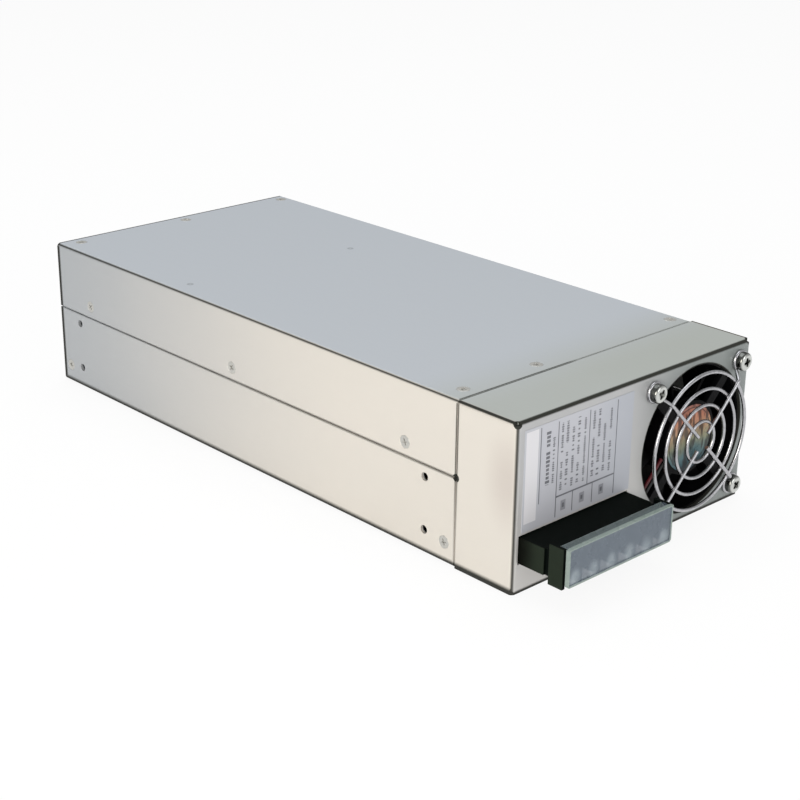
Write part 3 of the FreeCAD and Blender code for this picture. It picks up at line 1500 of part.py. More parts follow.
# Output busbars through the rear panel, in a moulded insulator, with a bolt and nut on each.
def busbars():
    root = "board_rear - busbar_root"
    high = "busbar_height + busbar_gauge"
    lip_y = ("half_length", "half_length + insulator_lip")
    body = slab(
        "insulator_body",
        ("window_left + fit_gap", "window_right - fit_gap"),
        ("half_length - insulator_depth", "half_length + insulator_lip"),
        ("window_low + fit_gap", "window_high - fit_gap"),
    )
    lip = slab(
        "insulator_lip",
        ("window_left - insulator_lip", "window_right + insulator_lip"),
        lip_y,
        ("window_low - insulator_lip", "window_high + insulator_lip"),
    )
    slots, bolts, nuts = [], [], []
    for step, name in enumerate(("positive", "negative")):
        left = f"busbar_right - busbar_width - {1 - step} * busbar_pitch"
        x = (left, f"{left} + busbar_width")
        bar = padded(
            f"{name}_strip",
            "YZ",
            [
                (root, "board_top"),
                (root, high),
                ("busbar_tip", high),
                ("busbar_tip", "busbar_height"),
                (f"{root} + busbar_gauge", "busbar_height"),
                (f"{root} + busbar_gauge", "board_top"),
            ],
            *x,
        )
        bent(bar, "YZ", [(root, high)], "busbar_gauge")
        centre = (f"{left} + busbar_width / 2", "half_length + busbar_hole_reach")
        through = (f"busbar_height - {BEYOND}", f"{high} + {BEYOND}")
        hole = peg(f"{name}_hole", "z", centre, "busbar_hole_radius", *through)
        node(f"busbar_{name}", carved(f"busbar_{name}", bar, [hole]))
        slots.append(
            slab(
                f"insulator_slot_{step}",
                (f"{x[0]} - fit_gap", f"{x[1]} + fit_gap"),
                (f"half_length - insulator_depth - {BEYOND}", f"half_length + {BEYOND}"),
                ("busbar_height - fit_gap", f"{high} + fit_gap"),
            )
        )
        head = peg(f"{name}_bolt_head", "z", centre, "bolt_head_radius", high, f"{high} + bolt_head", sides=6)
        shank = peg(f"{name}_bolt_shank", "z", centre, "bolt_radius", f"{high} - bolt_length", high)
        bolts.append(joined(f"{name}_bolt", [head, shank]))
        nut_z = ("busbar_height - bolt_nut", "busbar_height")
        blank = peg(f"{name}_nut_blank", "z", centre, "bolt_head_radius", *nut_z, sides=6)
        through = (f"{nut_z[0]} - {BEYOND}", f"{nut_z[1]} + {BEYOND}")
        thread = peg(f"{name}_nut_thread", "z", centre, "bolt_radius + fit_gap", *through)
        nuts.append(carved(f"{name}_nut", blank, [thread]))
    node("busbar_insulator", carved("busbar_insulator", joined("insulator_frame", [body, lip]), slots))
    group("busbar_bolts", bolts)
    group("busbar_nuts", nuts)


# Small parts behind the rear panel: signal connector, output trimmer and status lamp.
def rear_parts():
    plug_y = ("half_length + plug_wall - plug_depth", "half_length + plug_wall")
    shell = on_board("plug_shell", ("plug_x", "plug_x + plug_width"), plug_y, "plug_height")
    mouth = slab(
        "plug_mouth",
        ("plug_x + plug_wall", "plug_x + plug_width - plug_wall"),
        (f"{plug_y[0]} + plug_depth / 2", f"{plug_y[1]} + {BEYOND}"),
        ("board_top + plug_wall", "board_top + plug_height - plug_wall"),
    )
    node("signal_connector", carved("signal_connector", shell, [mouth]))

    x = ("trimmer_x", "trimmer_x + trimmer_size")
    back = "rear_inside - trimmer_setback - trimmer_depth"
    case = on_board("trimmer_case", x, (back, f"{back} + trimmer_depth"), "trimmer_size")
    centre = ("trimmer_x + trimmer_size / 2", "trimmer_z")
    seat_y = (f"{back} + trimmer_depth / 3", f"{back} + trimmer_depth + {BEYOND}")
    seat = rod("trimmer_seat", "y", centre, "trimmer_rotor_radius + running_gap", *seat_y)
    node("trimmer_body", carved("trimmer_body", case, [seat]))
    tip = "rear_inside - fit_gap"
    spindle = rod("trimmer_spindle", "y", centre, "trimmer_rotor_radius", f"{seat_y[0]} + running_gap", tip)
    slot = slab(
        "trimmer_slot_cut",
        (f"{centre[0]} - trimmer_rotor_radius * 2", f"{centre[0]} + trimmer_rotor_radius * 2"),
        (f"{tip} - trimmer_slot * 2", f"{tip} + {BEYOND}"),
        (f"{centre[1]} - trimmer_slot / 2", f"{centre[1]} + trimmer_slot / 2"),
    )
    node("trimmer_rotor", carved("trimmer_rotor", spindle, [slot]))

    holder_y = ("board_rear - lamp_radius * 2", "board_rear")
    holder_x = ("lamp_x - lamp_radius", "lamp_x + lamp_radius")
    holder = on_board("lamp_holder", holder_x, holder_y, "lamp_radius + trimmer_size / 2")
    lens_y = ("board_rear - lamp_radius", "half_length")
    lens = peg("lamp_lens", "y", ("lamp_x", "lamp_z"), "lamp_radius", *lens_y)
    node("status_lamp", joined("status_lamp", [holder, lens]))


chassis()
cover()
front_cap()
rear_panel()
case_screws()
fan()
finger_guard()
fan_leads()
terminal_block()
terminal_metal()
terminal_cover()
rating_label()
board()
input_filter()
mains_stage()
output_stage()
busbars()
rear_parts()
doc.recompute()

failed = [item.Name for item in doc.Objects if {"Invalid", "Error"} & set(item.State)]
failed += [item.Label for item in nodes if item.Shape.isNull() or not item.Shape.isValid()]
if failed:
    raise SystemExit(f"not built: {', '.join(failed)}")
os.makedirs("parts", exist_ok=True)
for item in nodes:
    item.Shape.exportStep(f"parts/{item.Label}.step")
print(len(nodes), "sub-parts written")
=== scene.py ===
import json
import math

import bpy
from mathutils import Matrix, Vector


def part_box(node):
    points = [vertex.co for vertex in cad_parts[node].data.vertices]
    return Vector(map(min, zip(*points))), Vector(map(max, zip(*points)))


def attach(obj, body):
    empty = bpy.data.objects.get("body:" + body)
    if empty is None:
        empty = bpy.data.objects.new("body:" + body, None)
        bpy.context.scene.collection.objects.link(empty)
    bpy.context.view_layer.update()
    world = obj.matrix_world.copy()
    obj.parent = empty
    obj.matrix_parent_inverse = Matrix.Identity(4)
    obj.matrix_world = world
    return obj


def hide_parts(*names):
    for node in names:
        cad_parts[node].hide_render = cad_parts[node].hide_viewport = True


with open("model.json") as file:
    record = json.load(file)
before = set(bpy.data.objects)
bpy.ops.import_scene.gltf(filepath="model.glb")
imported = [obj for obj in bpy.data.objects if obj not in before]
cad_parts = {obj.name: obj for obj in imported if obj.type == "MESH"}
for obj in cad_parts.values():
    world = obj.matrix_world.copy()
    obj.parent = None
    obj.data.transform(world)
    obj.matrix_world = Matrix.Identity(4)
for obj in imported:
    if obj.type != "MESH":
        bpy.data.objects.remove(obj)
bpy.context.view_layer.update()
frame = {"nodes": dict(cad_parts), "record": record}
nodes = frame["nodes"]
record = frame["record"]
print("frame loaded:", len(nodes), "nodes")

mm = 0.001
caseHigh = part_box("chassis")[1]
halfWidth = caseHigh.x
halfLength = caseHigh.y
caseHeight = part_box("front_cap")[1].z
seamHalf = 0.3 * mm  # half the gap between the shells
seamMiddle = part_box("cover")[0].z - seamHalf
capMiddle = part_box("cover")[0].y - seamHalf
fanLow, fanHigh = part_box("fan_frame")
fanCentre = (fanLow + fanHigh) / 2


# one socket of a material's tree; sums, products and comparisons of sockets add Math nodes
class Shade:
    def __init__(self, tree, socket=None):
        self.tree = tree
        self.socket = socket

    def node(self, kind, settings=None, inputs=None, output=0):
        made = self.tree.nodes.new(kind)
        for name, value in (settings or {}).items():
            if name == "stops":
                while len(made.color_ramp.elements) < len(value):
                    made.color_ramp.elements.new(0.5)
                for element, (position, colour) in zip(made.color_ramp.elements, value):
                    element.position = position
                    element.color = colour
            else:
                setattr(made, name, value)
        for name, value in (inputs or {}).items():
            if isinstance(value, Shade):
                self.tree.links.new(value.socket, made.inputs[name])
            else:
                made.inputs[name].default_value = value
        return Shade(self.tree, made.outputs[output])

    def maths(self, operation, first, second=0.0):
        return self.node("ShaderNodeMath", {"operation": operation}, {0: first, 1: second})

    def __add__(self, other):
        return self.maths("ADD", self, other)

    def __radd__(self, other):
        return self.maths("ADD", other, self)

    def __sub__(self, other):
        return self.maths("SUBTRACT", self, other)

    def __rsub__(self, other):
        return self.maths("SUBTRACT", other, self)

    def __mul__(self, other):
        return self.maths("MULTIPLY", self, other)

    def __rmul__(self, other):
        return self.maths("MULTIPLY", other, self)

    def __truediv__(self, other):
        return self.maths("DIVIDE", self, other)

    def __mod__(self, other):
        return self.maths("FLOORED_MODULO", self, other)

    def __gt__(self, other):
        return self.maths("GREATER_THAN", self, other)

    def __lt__(self, other):
        return self.maths("LESS_THAN", self, other)

    def __abs__(self):
        return self.maths("ABSOLUTE", self)

    def lower(self, other):
        return self.maths("MINIMUM", self, other)

    def higher(self, other):
        return self.maths("MAXIMUM", self, other)

    def over(self, low, high):  # value from low to high as this goes from 0 to 1
        return low + self * (high - low)

    def rise(self, start, end):  # 0 before start, 1 after end, smooth between
        span = {"From Min": start, "From Max": end, "Value": self}
        return self.node("ShaderNodeMapRange", {"interpolation_type": "SMOOTHSTEP"}, span)

    def within(self, low, high):  # 1 between the two values
        return (self > low) * (self < high)

    def near(self, value, core, fade):  # 1 up to core away from the value, 0 from fade on
        return 1 - abs(self - value).rise(core, fade)

    def reach(self, *others):  # length of the offset made of this and the others
        total = self * self
        for other in others:
            total = total + other * other
        return self.maths("SQRT", total)

    def chance(self):  # a random value that stays the same while this does
        return self.node("ShaderNodeTexWhiteNoise", {"noise_dimensions": "1D"}, {"W": self})

    def ramp(self, *stops):
        return self.node("ShaderNodeValToRGB", {"stops": stops}, {0: self})

    def mix(self, low, high):  # colour from low to high as this goes from 0 to 1
        return self.node("ShaderNodeMix", {"data_type": "RGBA"}, {0: self, 6: low, 7: high}, 2)

    def noise(self, scale, detail, stretch=(1, 1, 1)):
        place = self.node("ShaderNodeTexCoord", output="Object")
        turned = self.node("ShaderNodeMapping", inputs={"Vector": place, "Scale": stretch})
        return self.node("ShaderNodeTexNoise", inputs={"Vector": turned, "Scale": scale, "Detail": detail})

    def bump(self, strength, distance):
        height = {"Height": self, "Strength": strength, "Distance": distance}
        return self.node("ShaderNodeBump", inputs=height)


def srgb(red, green, blue):
    linear = []
    for level in (red, green, blue):
        share = level / 255
        linear.append(share / 12.92 if share <= 0.04045 else ((share + 0.055) / 1.055) ** 2.4)
    return (*linear, 1.0)


def newFinish(name, paint, **fixed):
    material = bpy.data.materials.new(name)
    material.use_nodes = True
    tree = material.node_tree
    shader = tree.nodes["Principled BSDF"]
    for socket, value in fixed.items():
        shader.inputs[socket.replace("_", " ")].default_value = value
    start = Shade(tree)
    place = start.node("ShaderNodeTexCoord", output="Object")
    axes = [start.node("ShaderNodeSeparateXYZ", inputs={"Vector": place}, output=axis) for axis in "XYZ"]
    for socket, value in paint(*axes).items():
        tree.links.new(value.socket, shader.inputs[socket])
    return material


# a finish of two tones in clouds with a fine grain; its roughness follows one or the other
def cloudFinish(name, look, follow="cloud", **fixed):
    def paint(x, y, z):
        pattern = {"cloud": x.noise(*look["cloud"]), "grain": x.noise(*look["grain"])}
        return {
            "Base Color": pattern["cloud"].mix(look["dark"], look["light"]),
            "Roughness": pattern[follow].over(*look["roughness"]),
            "Normal": pattern["grain"].bump(*look["bump"]),
        }

    return newFinish(name, paint, **fixed)


def dress(node, material):
    mesh = nodes[node].data
    mesh.materials.clear()
    mesh.materials.append(material)


# a plain finish for every slot of the record: metal and roughness of its class
slotLook = {
    "brushed_steel": (1.0, 0.32),
    "chrome": (1.0, 0.22),
    "aluminium": (0.9, 0.38),
    "cast_iron": (0.1, 0.6),
    "brass": (0.9, 0.35),
    "rubber": (0.0, 0.55),
    "matte_plastic": (0.0, 0.5),
    "gloss_plastic": (0.0, 0.25),
    "glass": (0.0, 0.1),
}
slotGrain = {
    "darker": 0.82,  # of the slot's own colour, in the dark clouds
    "cloud": (180, 3),
    "grain": (2600, 2),
    "swing": 0.06,
    "bump": (0.12, 0.2 * mm),
}


def slotFinish(entry):
    metal, rough = slotLook[entry["class"]]
    colour = entry["base_color"][:3]
    look = {
        **slotGrain,
        "light": (*colour, 1.0),
        "dark": (*(level * slotGrain["darker"] for level in colour), 1.0),
        "roughness": (rough - slotGrain["swing"], rough + slotGrain["swing"]),
    }
    return cloudFinish(f"{entry['slot']}_finish", look, "grain", Metallic=metal)


finishes = {entry["slot"]: slotFinish(entry) for entry in record["materials"]}
for part in record["subparts"]:
    dress(part["node"], finishes[part["material_slot"]])
print("slot finishes:", len(finishes))

# case sheet: satin metal with painted light, a cool tone on top and a lit, warmer tone towards the front of
# the sides; painted shade along folds and seams
caseLook = {
    "roof": srgb(182, 187, 193),
    "capRoof": srgb(170, 174, 169),
    "capRoofRun": (85 * mm, 125 * mm),  # forwards, where the roof takes on the cap's tone
    "capRoofShare": (0.6, 1.2),
    # painted light: the one sheet in lit and shaded tones, cool on the roof and at the rear of the sides,
    # warm and lighter where the sides are lit towards the front
    "flankShaded": srgb(170, 174, 178),
    "flankLit": srgb(214, 209, 201),
    "flankLitRun": (-150 * mm, 60 * mm),
    "flankLitDrift": (-0.125, 0.125),
    # painted light and shade on the front panel: lighter low down, darker higher up near the fan and towards
    # the right
    "frontLow": srgb(196, 195, 194),
    "frontHigh": srgb(173, 174, 176),
    "frontRise": (8 * mm, 56 * mm),
    "frontRight": srgb(135, 141, 140),
    "frontAcross": (-12 * mm, 30 * mm),
    "frontSkin": 0.4 * mm,
    # painted reflection: a soft, darker, pinkish blob near the front of each side
    "paintedReflection": srgb(186, 176, 170),
    "reflectionPlace": (4 * mm, 41 * mm),  # behind the front edge, and up
    "reflectionFlat": 0.55,
    "reflectionEdges": (1 * mm, 13 * mm),
    "reflectionShare": 0.5,
    # painted shade: the dark tone laid along folds, seams, edges and corner holes
    "line": srgb(34, 35, 30),
    "skin": 0.1 * mm,  # how near the outside a line on it starts
    "sheetSkin": 1.0 * mm,
    # painted shade along the folds and the foot of the sheet
    "foldWidth": 1.2 * mm,
    "foldCore": 0.4,
    "footWidth": 3.2 * mm,
    "frontFoot": 1.6 * mm,
    "frontFold": 0.7 * mm,  # how far back the narrow foot of the front reaches
    # painted shade along the seams between the shells
    "seam": (0.5 * mm, 0.95 * mm),
    "sideSeamRun": (-130 * mm, 30 * mm),
    "sideSeamShade": (0.2, 0.55),
    "capSeamRun": (5 * mm, 45 * mm),
    "capSeamShade": (0.3, 0.9),
    "topSeamRun": (-8 * mm, -2 * mm),
    "topSeamShade": (0.8, 0.2),
    # painted shade over the seam's slit inside the right wall, where light would show through
    "slitDepth": 3 * mm,
    "gauge": 1.1 * mm,
    # painted shade: a wide dark band down the rear edge of each side
    "rearEdge": (2.4 * mm, 1.2 * mm),
    # painted shade along the top edge of the front
    "brow": (0.7 * mm, 1.3 * mm),  # dark edge along the top of the front
    "browRoof": 0.7,
    "browSide": (0.6 * mm, 1.3 * mm),
    # painted shade: a dark ring at the cut edge of the fan opening
    "opening": 29.0 * mm,
    "openingLine": (0.2 * mm, 0.4 * mm),
    "openingDepth": 2 * mm,
    # painted shade: dark dots in the corner reliefs and where the seams cross, and darkness inside the
    # hollow by the front corner
    "cornerDot": 2.4 * mm,
    "cornerHollow": 8 * mm,
    "crossDot": 1.5 * mm,
    # painted shade: a dark ring standing for each of two small press marks in the roof
    "pressMarks": ((28.6 * mm, 48.8 * mm), (-54.7 * mm, 52.9 * mm)),
    "pressRadius": 0.91 * mm,
    "pressLine": (0.3 * mm, 0.7 * mm),
    "pressShade": 0.3,
    "drift": (9, 2),
    "grain": (900, 2, (1, 0.12, 1)),
    "speck": (3500, 1),
    "grainShare": 0.6,
    "speckShare": 0.4,
    "bump": (0.08, 0.2 * mm),
    "roughness": (0.32, 0.48),
    "lineDull": 0.4,
    "roofDull": 0.3,
    "metal": 0.25,
    "roofLess": 0.15,
}


def paintedCaseShade(x, y, z):
    # painted shade on the sheet: along folds, seams and cut edges, in corner reliefs, and round two small
    # press marks
    look = caseLook
    skin = look["skin"]
    width = look["foldWidth"]
    core = width * look["foldCore"]
    gauge = look["gauge"]
    across = abs(x)
    along = abs(y)
    beyond = across - halfWidth
    ahead = y + halfLength
    above = z - caseHeight
    flank = across > halfWidth - skin
    roof = z > caseHeight - skin

    # painted shade along the folds, and a painted contact shadow along the foot
    sides = across.rise(halfWidth - width, halfWidth - core)
    ends = along.rise(halfLength - width, halfLength - core)
    top = z.rise(caseHeight - width, caseHeight - core)
    behindFold = y > look["frontFold"] - halfLength
    footWidth = behindFold * (look["footWidth"] - look["frontFoot"]) + look["frontFoot"]
    foot = 1 - (z / footWidth).rise(look["foldCore"], 1)
    folds = (sides + ends + top + foot - 1).higher(0)

    # painted shade along the seams, and over the slit they leave inside the right wall
    level = z.near(seamMiddle, *look["seam"])
    towardFront = (y * -1).rise(*look["sideSeamRun"]).over(*look["sideSeamShade"])
    sideSeam = level * flank * (y > capMiddle) * towardFront
    slit = x.within(halfWidth - look["slitDepth"], halfWidth - skin) * (along < -capMiddle) * level
    capSeam = y.near(capMiddle, *look["seam"])
    upward = z.rise(*look["capSeamRun"]).over(*look["capSeamShade"])
    fading = x.rise(*look["topSeamRun"]).over(*look["topSeamShade"])
    seams = sideSeam.higher(capSeam * flank * upward).higher(capSeam * roof * fading)

    # painted shade in the corner reliefs, at the seam crossings and inside the hollow by the front corner
    corner = beyond.reach(ahead, above)
    cross = beyond.reach(y - capMiddle, z - seamMiddle)
    inside = (across < halfWidth - gauge) * (y > gauge - halfLength) * (z < caseHeight - gauge)
    dots = (corner < look["cornerDot"]).higher(cross < look["crossDot"])
    dots = dots.higher(inside * (corner < look["cornerHollow"]))

    # painted shade down the rear edges of the sides
    rearStart, rearEnd = look["rearEdge"]
    rearEdge = flank * y.rise(halfLength - rearStart, halfLength - rearEnd)
    # painted shade round the fan opening's cut edge and along the front's top edge
    fromAxis = (x - fanCentre.x).reach(z - fanCentre.z)
    atFront = y < look["openingDepth"] - halfLength
    cutEdge = fromAxis.near(look["opening"], *look["openingLine"]) * atFront
    topEdge = (ahead * look["browRoof"]).reach(above).rise(*look["brow"])
    sideEdge = beyond.reach(ahead).rise(*look["browSide"])
    brow = 1 - topEdge.lower(sideEdge)

    lines = folds
    for shade in (seams, slit, dots, rearEdge, cutEdge, brow):
        lines = lines.higher(shade)
    # painted shade round the two press marks
    for markX, markY in look["pressMarks"]:
        mark = (x - markX).reach(y - markY).near(look["pressRadius"], *look["pressLine"])
        lines = lines.higher(mark * roof * look["pressShade"])
    return lines.lower(1)


def paintCase(x, y, z):
    look = caseLook
    forward = y * -1
    drift = x.noise(*look["drift"])
    grain = x.noise(*look["grain"])
    speck = x.noise(*look["speck"])
    flank = abs(x) > halfWidth - look["sheetSkin"]
    onRoof = z > caseHeight - look["sheetSkin"]
    capShare = forward.rise(*look["capRoofRun"]) * drift.over(*look["capRoofShare"])
    roof = capShare.mix(look["roof"], look["capRoof"])
    # painted light: the sides warm and lighter towards the front, cool and darker towards the rear
    flankLight = forward.rise(*look["flankLitRun"]) + drift.over(*look["flankLitDrift"])
    side = flankLight.higher(0).lower(1).mix(look["flankShaded"], look["flankLit"])
    sheet = flank.mix(roof, side)
    # painted reflection near the front of the sides
    reflectionY, reflectionZ = look["reflectionPlace"]
    away = (y + halfLength - reflectionY).reach((z - reflectionZ) * look["reflectionFlat"])
    paintedReflection = (1 - away.rise(*look["reflectionEdges"])) * flank * look["reflectionShare"]
    # painted light and shade across the front panel
    panel = z.rise(*look["frontRise"]).mix(look["frontLow"], look["frontHigh"])
    panel = x.rise(*look["frontAcross"]).mix(panel, look["frontRight"])
    bare = (y < look["frontSkin"] - halfLength).mix(paintedReflection.mix(sheet, look["paintedReflection"]), panel)
    # painted shade along folds, seams and edges, laid over the sheet
    lines = paintedCaseShade(x, y, z)
    dull = lines * look["lineDull"] + onRoof * look["roofDull"]
    return {
        "Base Color": lines.mix(bare, look["line"]),
        "Roughness": grain.over(*look["roughness"]) + dull,
        "Metallic": (1 - lines) * (look["metal"] - onRoof * look["roofLess"]),
        "Normal": (grain * look["grainShare"] + speck * look["speckShare"]).bump(*look["bump"]),
    }


caseFinish = newFinish("case_sheet_finish", paintCase)
for name in ("chassis", "cover", "front_cap", "rear_panel"):
    dress(name, caseFinish)
print("case sheet dressed")

# edit-mode tools: start a piece, pick its faces, finish it
meshLook = {
    "merge": 0.002 * mm,  # points nearer than this are one
    "facing": 0.9,  # share of a normal along a direction from which a face looks that way
    "flat": 1,  # degrees up to which neighbouring facets of a solid count as one face
    "solidSharp": 40,  # degrees from which an edge of a solid is rounded
    "pieceSharp": 50,  # degrees from which an edge of a new piece is rounded
}


def newPiece(name, primitive, **sizes):
    bpy.ops.object.select_all(action="DESELECT")
    primitive(**sizes)
    piece = bpy.context.object
    piece.name = name
    piece.data.name = name
    bpy.ops.object.transform_apply(location=True, rotation=True, scale=True)
    return piece


def facing(*way):  # a test for faces that look that way
    return lambda centre, normal: normal.dot(Vector(way)) > meshLook["facing"]


def pickFaces(piece, test):
    bpy.ops.object.mode_set(mode="OBJECT")
    bpy.context.tool_settings.mesh_select_mode = (False, False, True)
    mesh = piece.data
    for part in (*mesh.vertices, *mesh.edges):
        part.select = False
    for face in mesh.polygons:
        face.select = test(face.center, face.normal)
    bpy.ops.object.mode_set(mode="EDIT")


def pickEdges(piece, test):
    bpy.ops.object.mode_set(mode="OBJECT")
    bpy.context.tool_settings.mesh_select_mode = (False, True, False)
    mesh = piece.data
    for part in (*mesh.vertices, *mesh.polygons):
        part.select = False
    for edge in mesh.edges:
        edge.select = test(*(mesh.vertices[index].co for index in edge.vertices))
    bpy.ops.object.mode_set(mode="EDIT")


def extrude(*way):
    bpy.ops.mesh.extrude_region_move(TRANSFORM_OT_translate={"value": way})


def applyModifier(piece, kind, **settings):
    bpy.context.view_layer.objects.active = piece
    modifier = piece.modifiers.new(kind.lower(), kind)
    for name, value in settings.items():
        setattr(modifier, name, value)
    bpy.ops.object.modifier_apply(modifier=modifier.name)


def roundEdges(piece, width, segments):
    sharp = math.radians(meshLook["pieceSharp"])
    applyModifier(piece, "BEVEL", width=width, segments=segments, limit_method="ANGLE", angle_limit=sharp)


def smoothPiece(piece, angle=35):
    bpy.ops.object.select_all(action="DESELECT")
    piece.select_set(True)
    bpy.context.view_layer.objects.active = piece
    bpy.ops.object.mode_set(mode="EDIT")
    bpy.ops.mesh.select_all(action="SELECT")
    bpy.ops.mesh.remove_doubles(threshold=meshLook["merge"])
    bpy.ops.mesh.normals_make_consistent(inside=False)
    bpy.ops.object.mode_set(mode="OBJECT")
    bpy.ops.object.shade_smooth_by_angle(angle=math.radians(angle))


def joinPieces(pieces, name):
    bpy.ops.object.select_all(action="DESELECT")
    for piece in pieces:
        piece.select_set(True)
    bpy.context.view_layer.objects.active = pieces[0]
    bpy.ops.object.join()
    pieces[0].name = name
    pieces[0].data.name = name
    return pieces[0]


def copyPiece(piece, name, matrix):
    twin = piece.copy()
    twin.data = piece.data.copy()
    twin.data.transform(matrix)
    twin.name = name
    twin.data.name = name
    bpy.context.collection.objects.link(twin)
    return twin


def fitPiece(piece, material, body, slot, *replaced):
    piece.data.materials.clear()
    piece.data.materials.append(material)
    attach(piece, body)
    if replaced:
        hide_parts(*replaced)


# rounded edges on a solid that keeps its own mesh
def softenNode(node, width):
    weld = nodes[node].modifiers.new("weld", "WELD")
    weld.merge_threshold = meshLook["merge"]
    flat = nodes[node].modifiers.new("flat", "DECIMATE")
    flat.decimate_type = "DISSOLVE"
    flat.angle_limit = math.radians(meshLook["flat"])
    bevel = nodes[node].modifiers.new("bevel", "BEVEL")
    bevel.width = width
    bevel.segments = 2
    bevel.limit_method = "ANGLE"
    bevel.angle_limit = math.radians(meshLook["solidSharp"])


def wireRing(name, centre, radius, wire, steps=64):
    # a small circle beside the centre, spun about the fan's own direction
    start = Vector(centre) + Vector((radius, 0, 0))
    ring = newPiece(name, bpy.ops.mesh.primitive_circle_add, vertices=12, radius=wire, location=start)
    bpy.ops.object.mode_set(mode="EDIT")
    bpy.ops.mesh.select_all(action="SELECT")
    bpy.ops.mesh.spin(steps=steps, angle=math.tau, center=centre, axis=(0, 1, 0))
    bpy.ops.object.mode_set(mode="OBJECT")
    return ring


def wireRoute(name, route, wire, bend, sides=12):
    # a filled circle extruded along the straight runs and spun round each corner
    points = [Vector(point) for point in route]
    runs = [(after - before).normalized() for before, after in zip(points, points[1:])]
    piece = newPiece(
        name,
        bpy.ops.mesh.primitive_circle_add,
        vertices=sides,
        radius=wire,
        fill_type="NGON",
        location=points[0],
        rotation=runs[0].to_track_quat("Z", "Y").to_euler(),
    )
    bpy.ops.object.mode_set(mode="EDIT")
    bpy.ops.mesh.select_all(action="SELECT")
    place = points[0]
    for way, onward, corner in zip(runs, runs[1:], points[1:]):
        angle = way.angle(onward)
        setback = bend * math.tan(angle / 2)
        near = corner - way * setback
        extrude(*(near - place))
        inward = (onward - way * onward.dot(way)).normalized()
        axis = onward.cross(way).normalized()
        bpy.ops.mesh.spin(steps=6, angle=angle, center=near + inward * bend, axis=axis)
        place = corner + onward * setback
    extrude(*(points[-1] - place))
    bpy.ops.object.mode_set(mode="OBJECT")
    return piece


# bright nickel for contact screws, pins and guard wire
brightLook = {
    "light": srgb(206, 206, 210),
    "dark": srgb(150, 150, 152),
    "cloud": (700, 3),
    "grain": (5200, 2),
    "roughness": (0.19, 0.33),
    "bump": (0.05, 0.1 * mm),
}
brightFinish = cloudFinish("bright_nickel", brightLook, "grain", Metallic=1.0)

# finger guard: welded wire rings, four spokes down to eyes under the fan screws
guardLook = {
    "wire": 0.7 * mm,
    "rings": (7.9 * mm, 14.15 * mm, 20.4 * mm, 26.65 * mm),
    "spokes": 4,
    "spokeStart": 4.0 * mm,
    "shoulder": 27.45 * mm,
    "lap": 0.35 * mm,  # how far a spoke is pressed into the rings at its welds
    "bend": 1.6 * mm,
    "eye": 4.2 * mm,
    "eyeSteps": 32,
    "screwPitch": 25.0 * mm,  # from the fan's axis, each way
}


def makeGuard():
    look = guardLook
    low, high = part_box("finger_guard")
    wire = look["wire"]
    spokeY = low.y + wire
    ringY = spokeY + 2 * wire - look["lap"]
    eyeY = high.y - wire
    pieces = []
    for step, radius in enumerate(look["rings"]):
        pieces.append(wireRing(f"guardRing{step}", (fanCentre.x, ringY, fanCentre.z), radius, wire))
    hub = Vector((fanCentre.x, 0, fanCentre.z))
    eyeRadius = look["eye"] - wire
    screwRadius = look["screwPitch"] * math.sqrt(2)
    turns = ((look["spokeStart"], spokeY), (look["shoulder"], spokeY), (screwRadius - eyeRadius, eyeY))
    for step in range(look["spokes"]):
        angle = math.tau * (step + 0.5) / look["spokes"]
        way = Vector((math.cos(angle), 0, math.sin(angle)))
        route = [hub + way * radius + Vector((0, y, 0)) for radius, y in turns]
        pieces.append(wireRoute(f"guardSpoke{step}", route, wire, look["bend"]))
        eyeCentre = hub + way * screwRadius + Vector((0, eyeY, 0))
        pieces.append(wireRing(f"guardEye{step}", eyeCentre, eyeRadius, wire, look["eyeSteps"]))
    guard = joinPieces(pieces, "guard_wirework")
    smoothPiece(guard)
    fitPiece(guard, brightFinish, "case", "guard_wire", "finger_guard")


makeGuard()
print("finger guard made")

# round screw heads with a crossed recess
headLook = {
    "sides": 40,
    "rounds": 5,
    "taper": 0.6,  # width of a recess at its bottom, of that at its top
    "turns": (0.35, 1.1, 0.7, 0.15, 0.95, 0.5),  # how far the recess of each screw in a set is turned
}


def screwHead(name, height, look):
    # along +Z at the origin, top at z 0
    head = newPiece(
        name,
        bpy.ops.mesh.primitive_cylinder_add,
        vertices=headLook["sides"],
        radius=look["radius"],
        depth=height,
        location=(0, 0, -height / 2),
    )
    pickFaces(head, facing(0, 0, 1))
    bpy.ops.mesh.bevel(offset=look["rounding"], segments=headLook["rounds"], affect="EDGES")
    bpy.ops.object.mode_set(mode="OBJECT")
    length, width, depth = look["recess"]
    taper = headLook["taper"]
    for step, turn in enumerate((0, math.pi / 2)):
        cutter = newPiece(
            f"{name}Cut{step}",
            bpy.ops.mesh.primitive_cube_add,
            size=1,
            scale=(length, width, 2 * depth),
            rotation=(0, 0, turn),
        )
        pickFaces(cutter, facing(0, 0, -1))
        bpy.ops.transform.resize(value=(taper, taper, 1), center_override=(0, 0, -depth))
        bpy.ops.object.mode_set(mode="OBJECT")
        applyModifier(head, "BOOLEAN", operation="DIFFERENCE", object=cutter, solver="EXACT")
        bpy.data.objects.remove(cutter)
    smoothPiece(head, 30)
    return head


def setScrews(pattern, spots, material, slot, node):
    # copies of the pattern head, each turned to face out of its own surface
    for step, (place, way) in enumerate(spots):
        aim = Vector(way).to_track_quat("Z", "Y").to_matrix().to_4x4()
        matrix = Matrix.Translation(place) @ aim @ Matrix.Rotation(headLook["turns"][step], 4, "Z")
        screw = copyPiece(pattern, f"{node}_{step + 1}", matrix)
        fitPiece(screw, material, "case", slot, node)
    bpy.data.objects.remove(pattern)


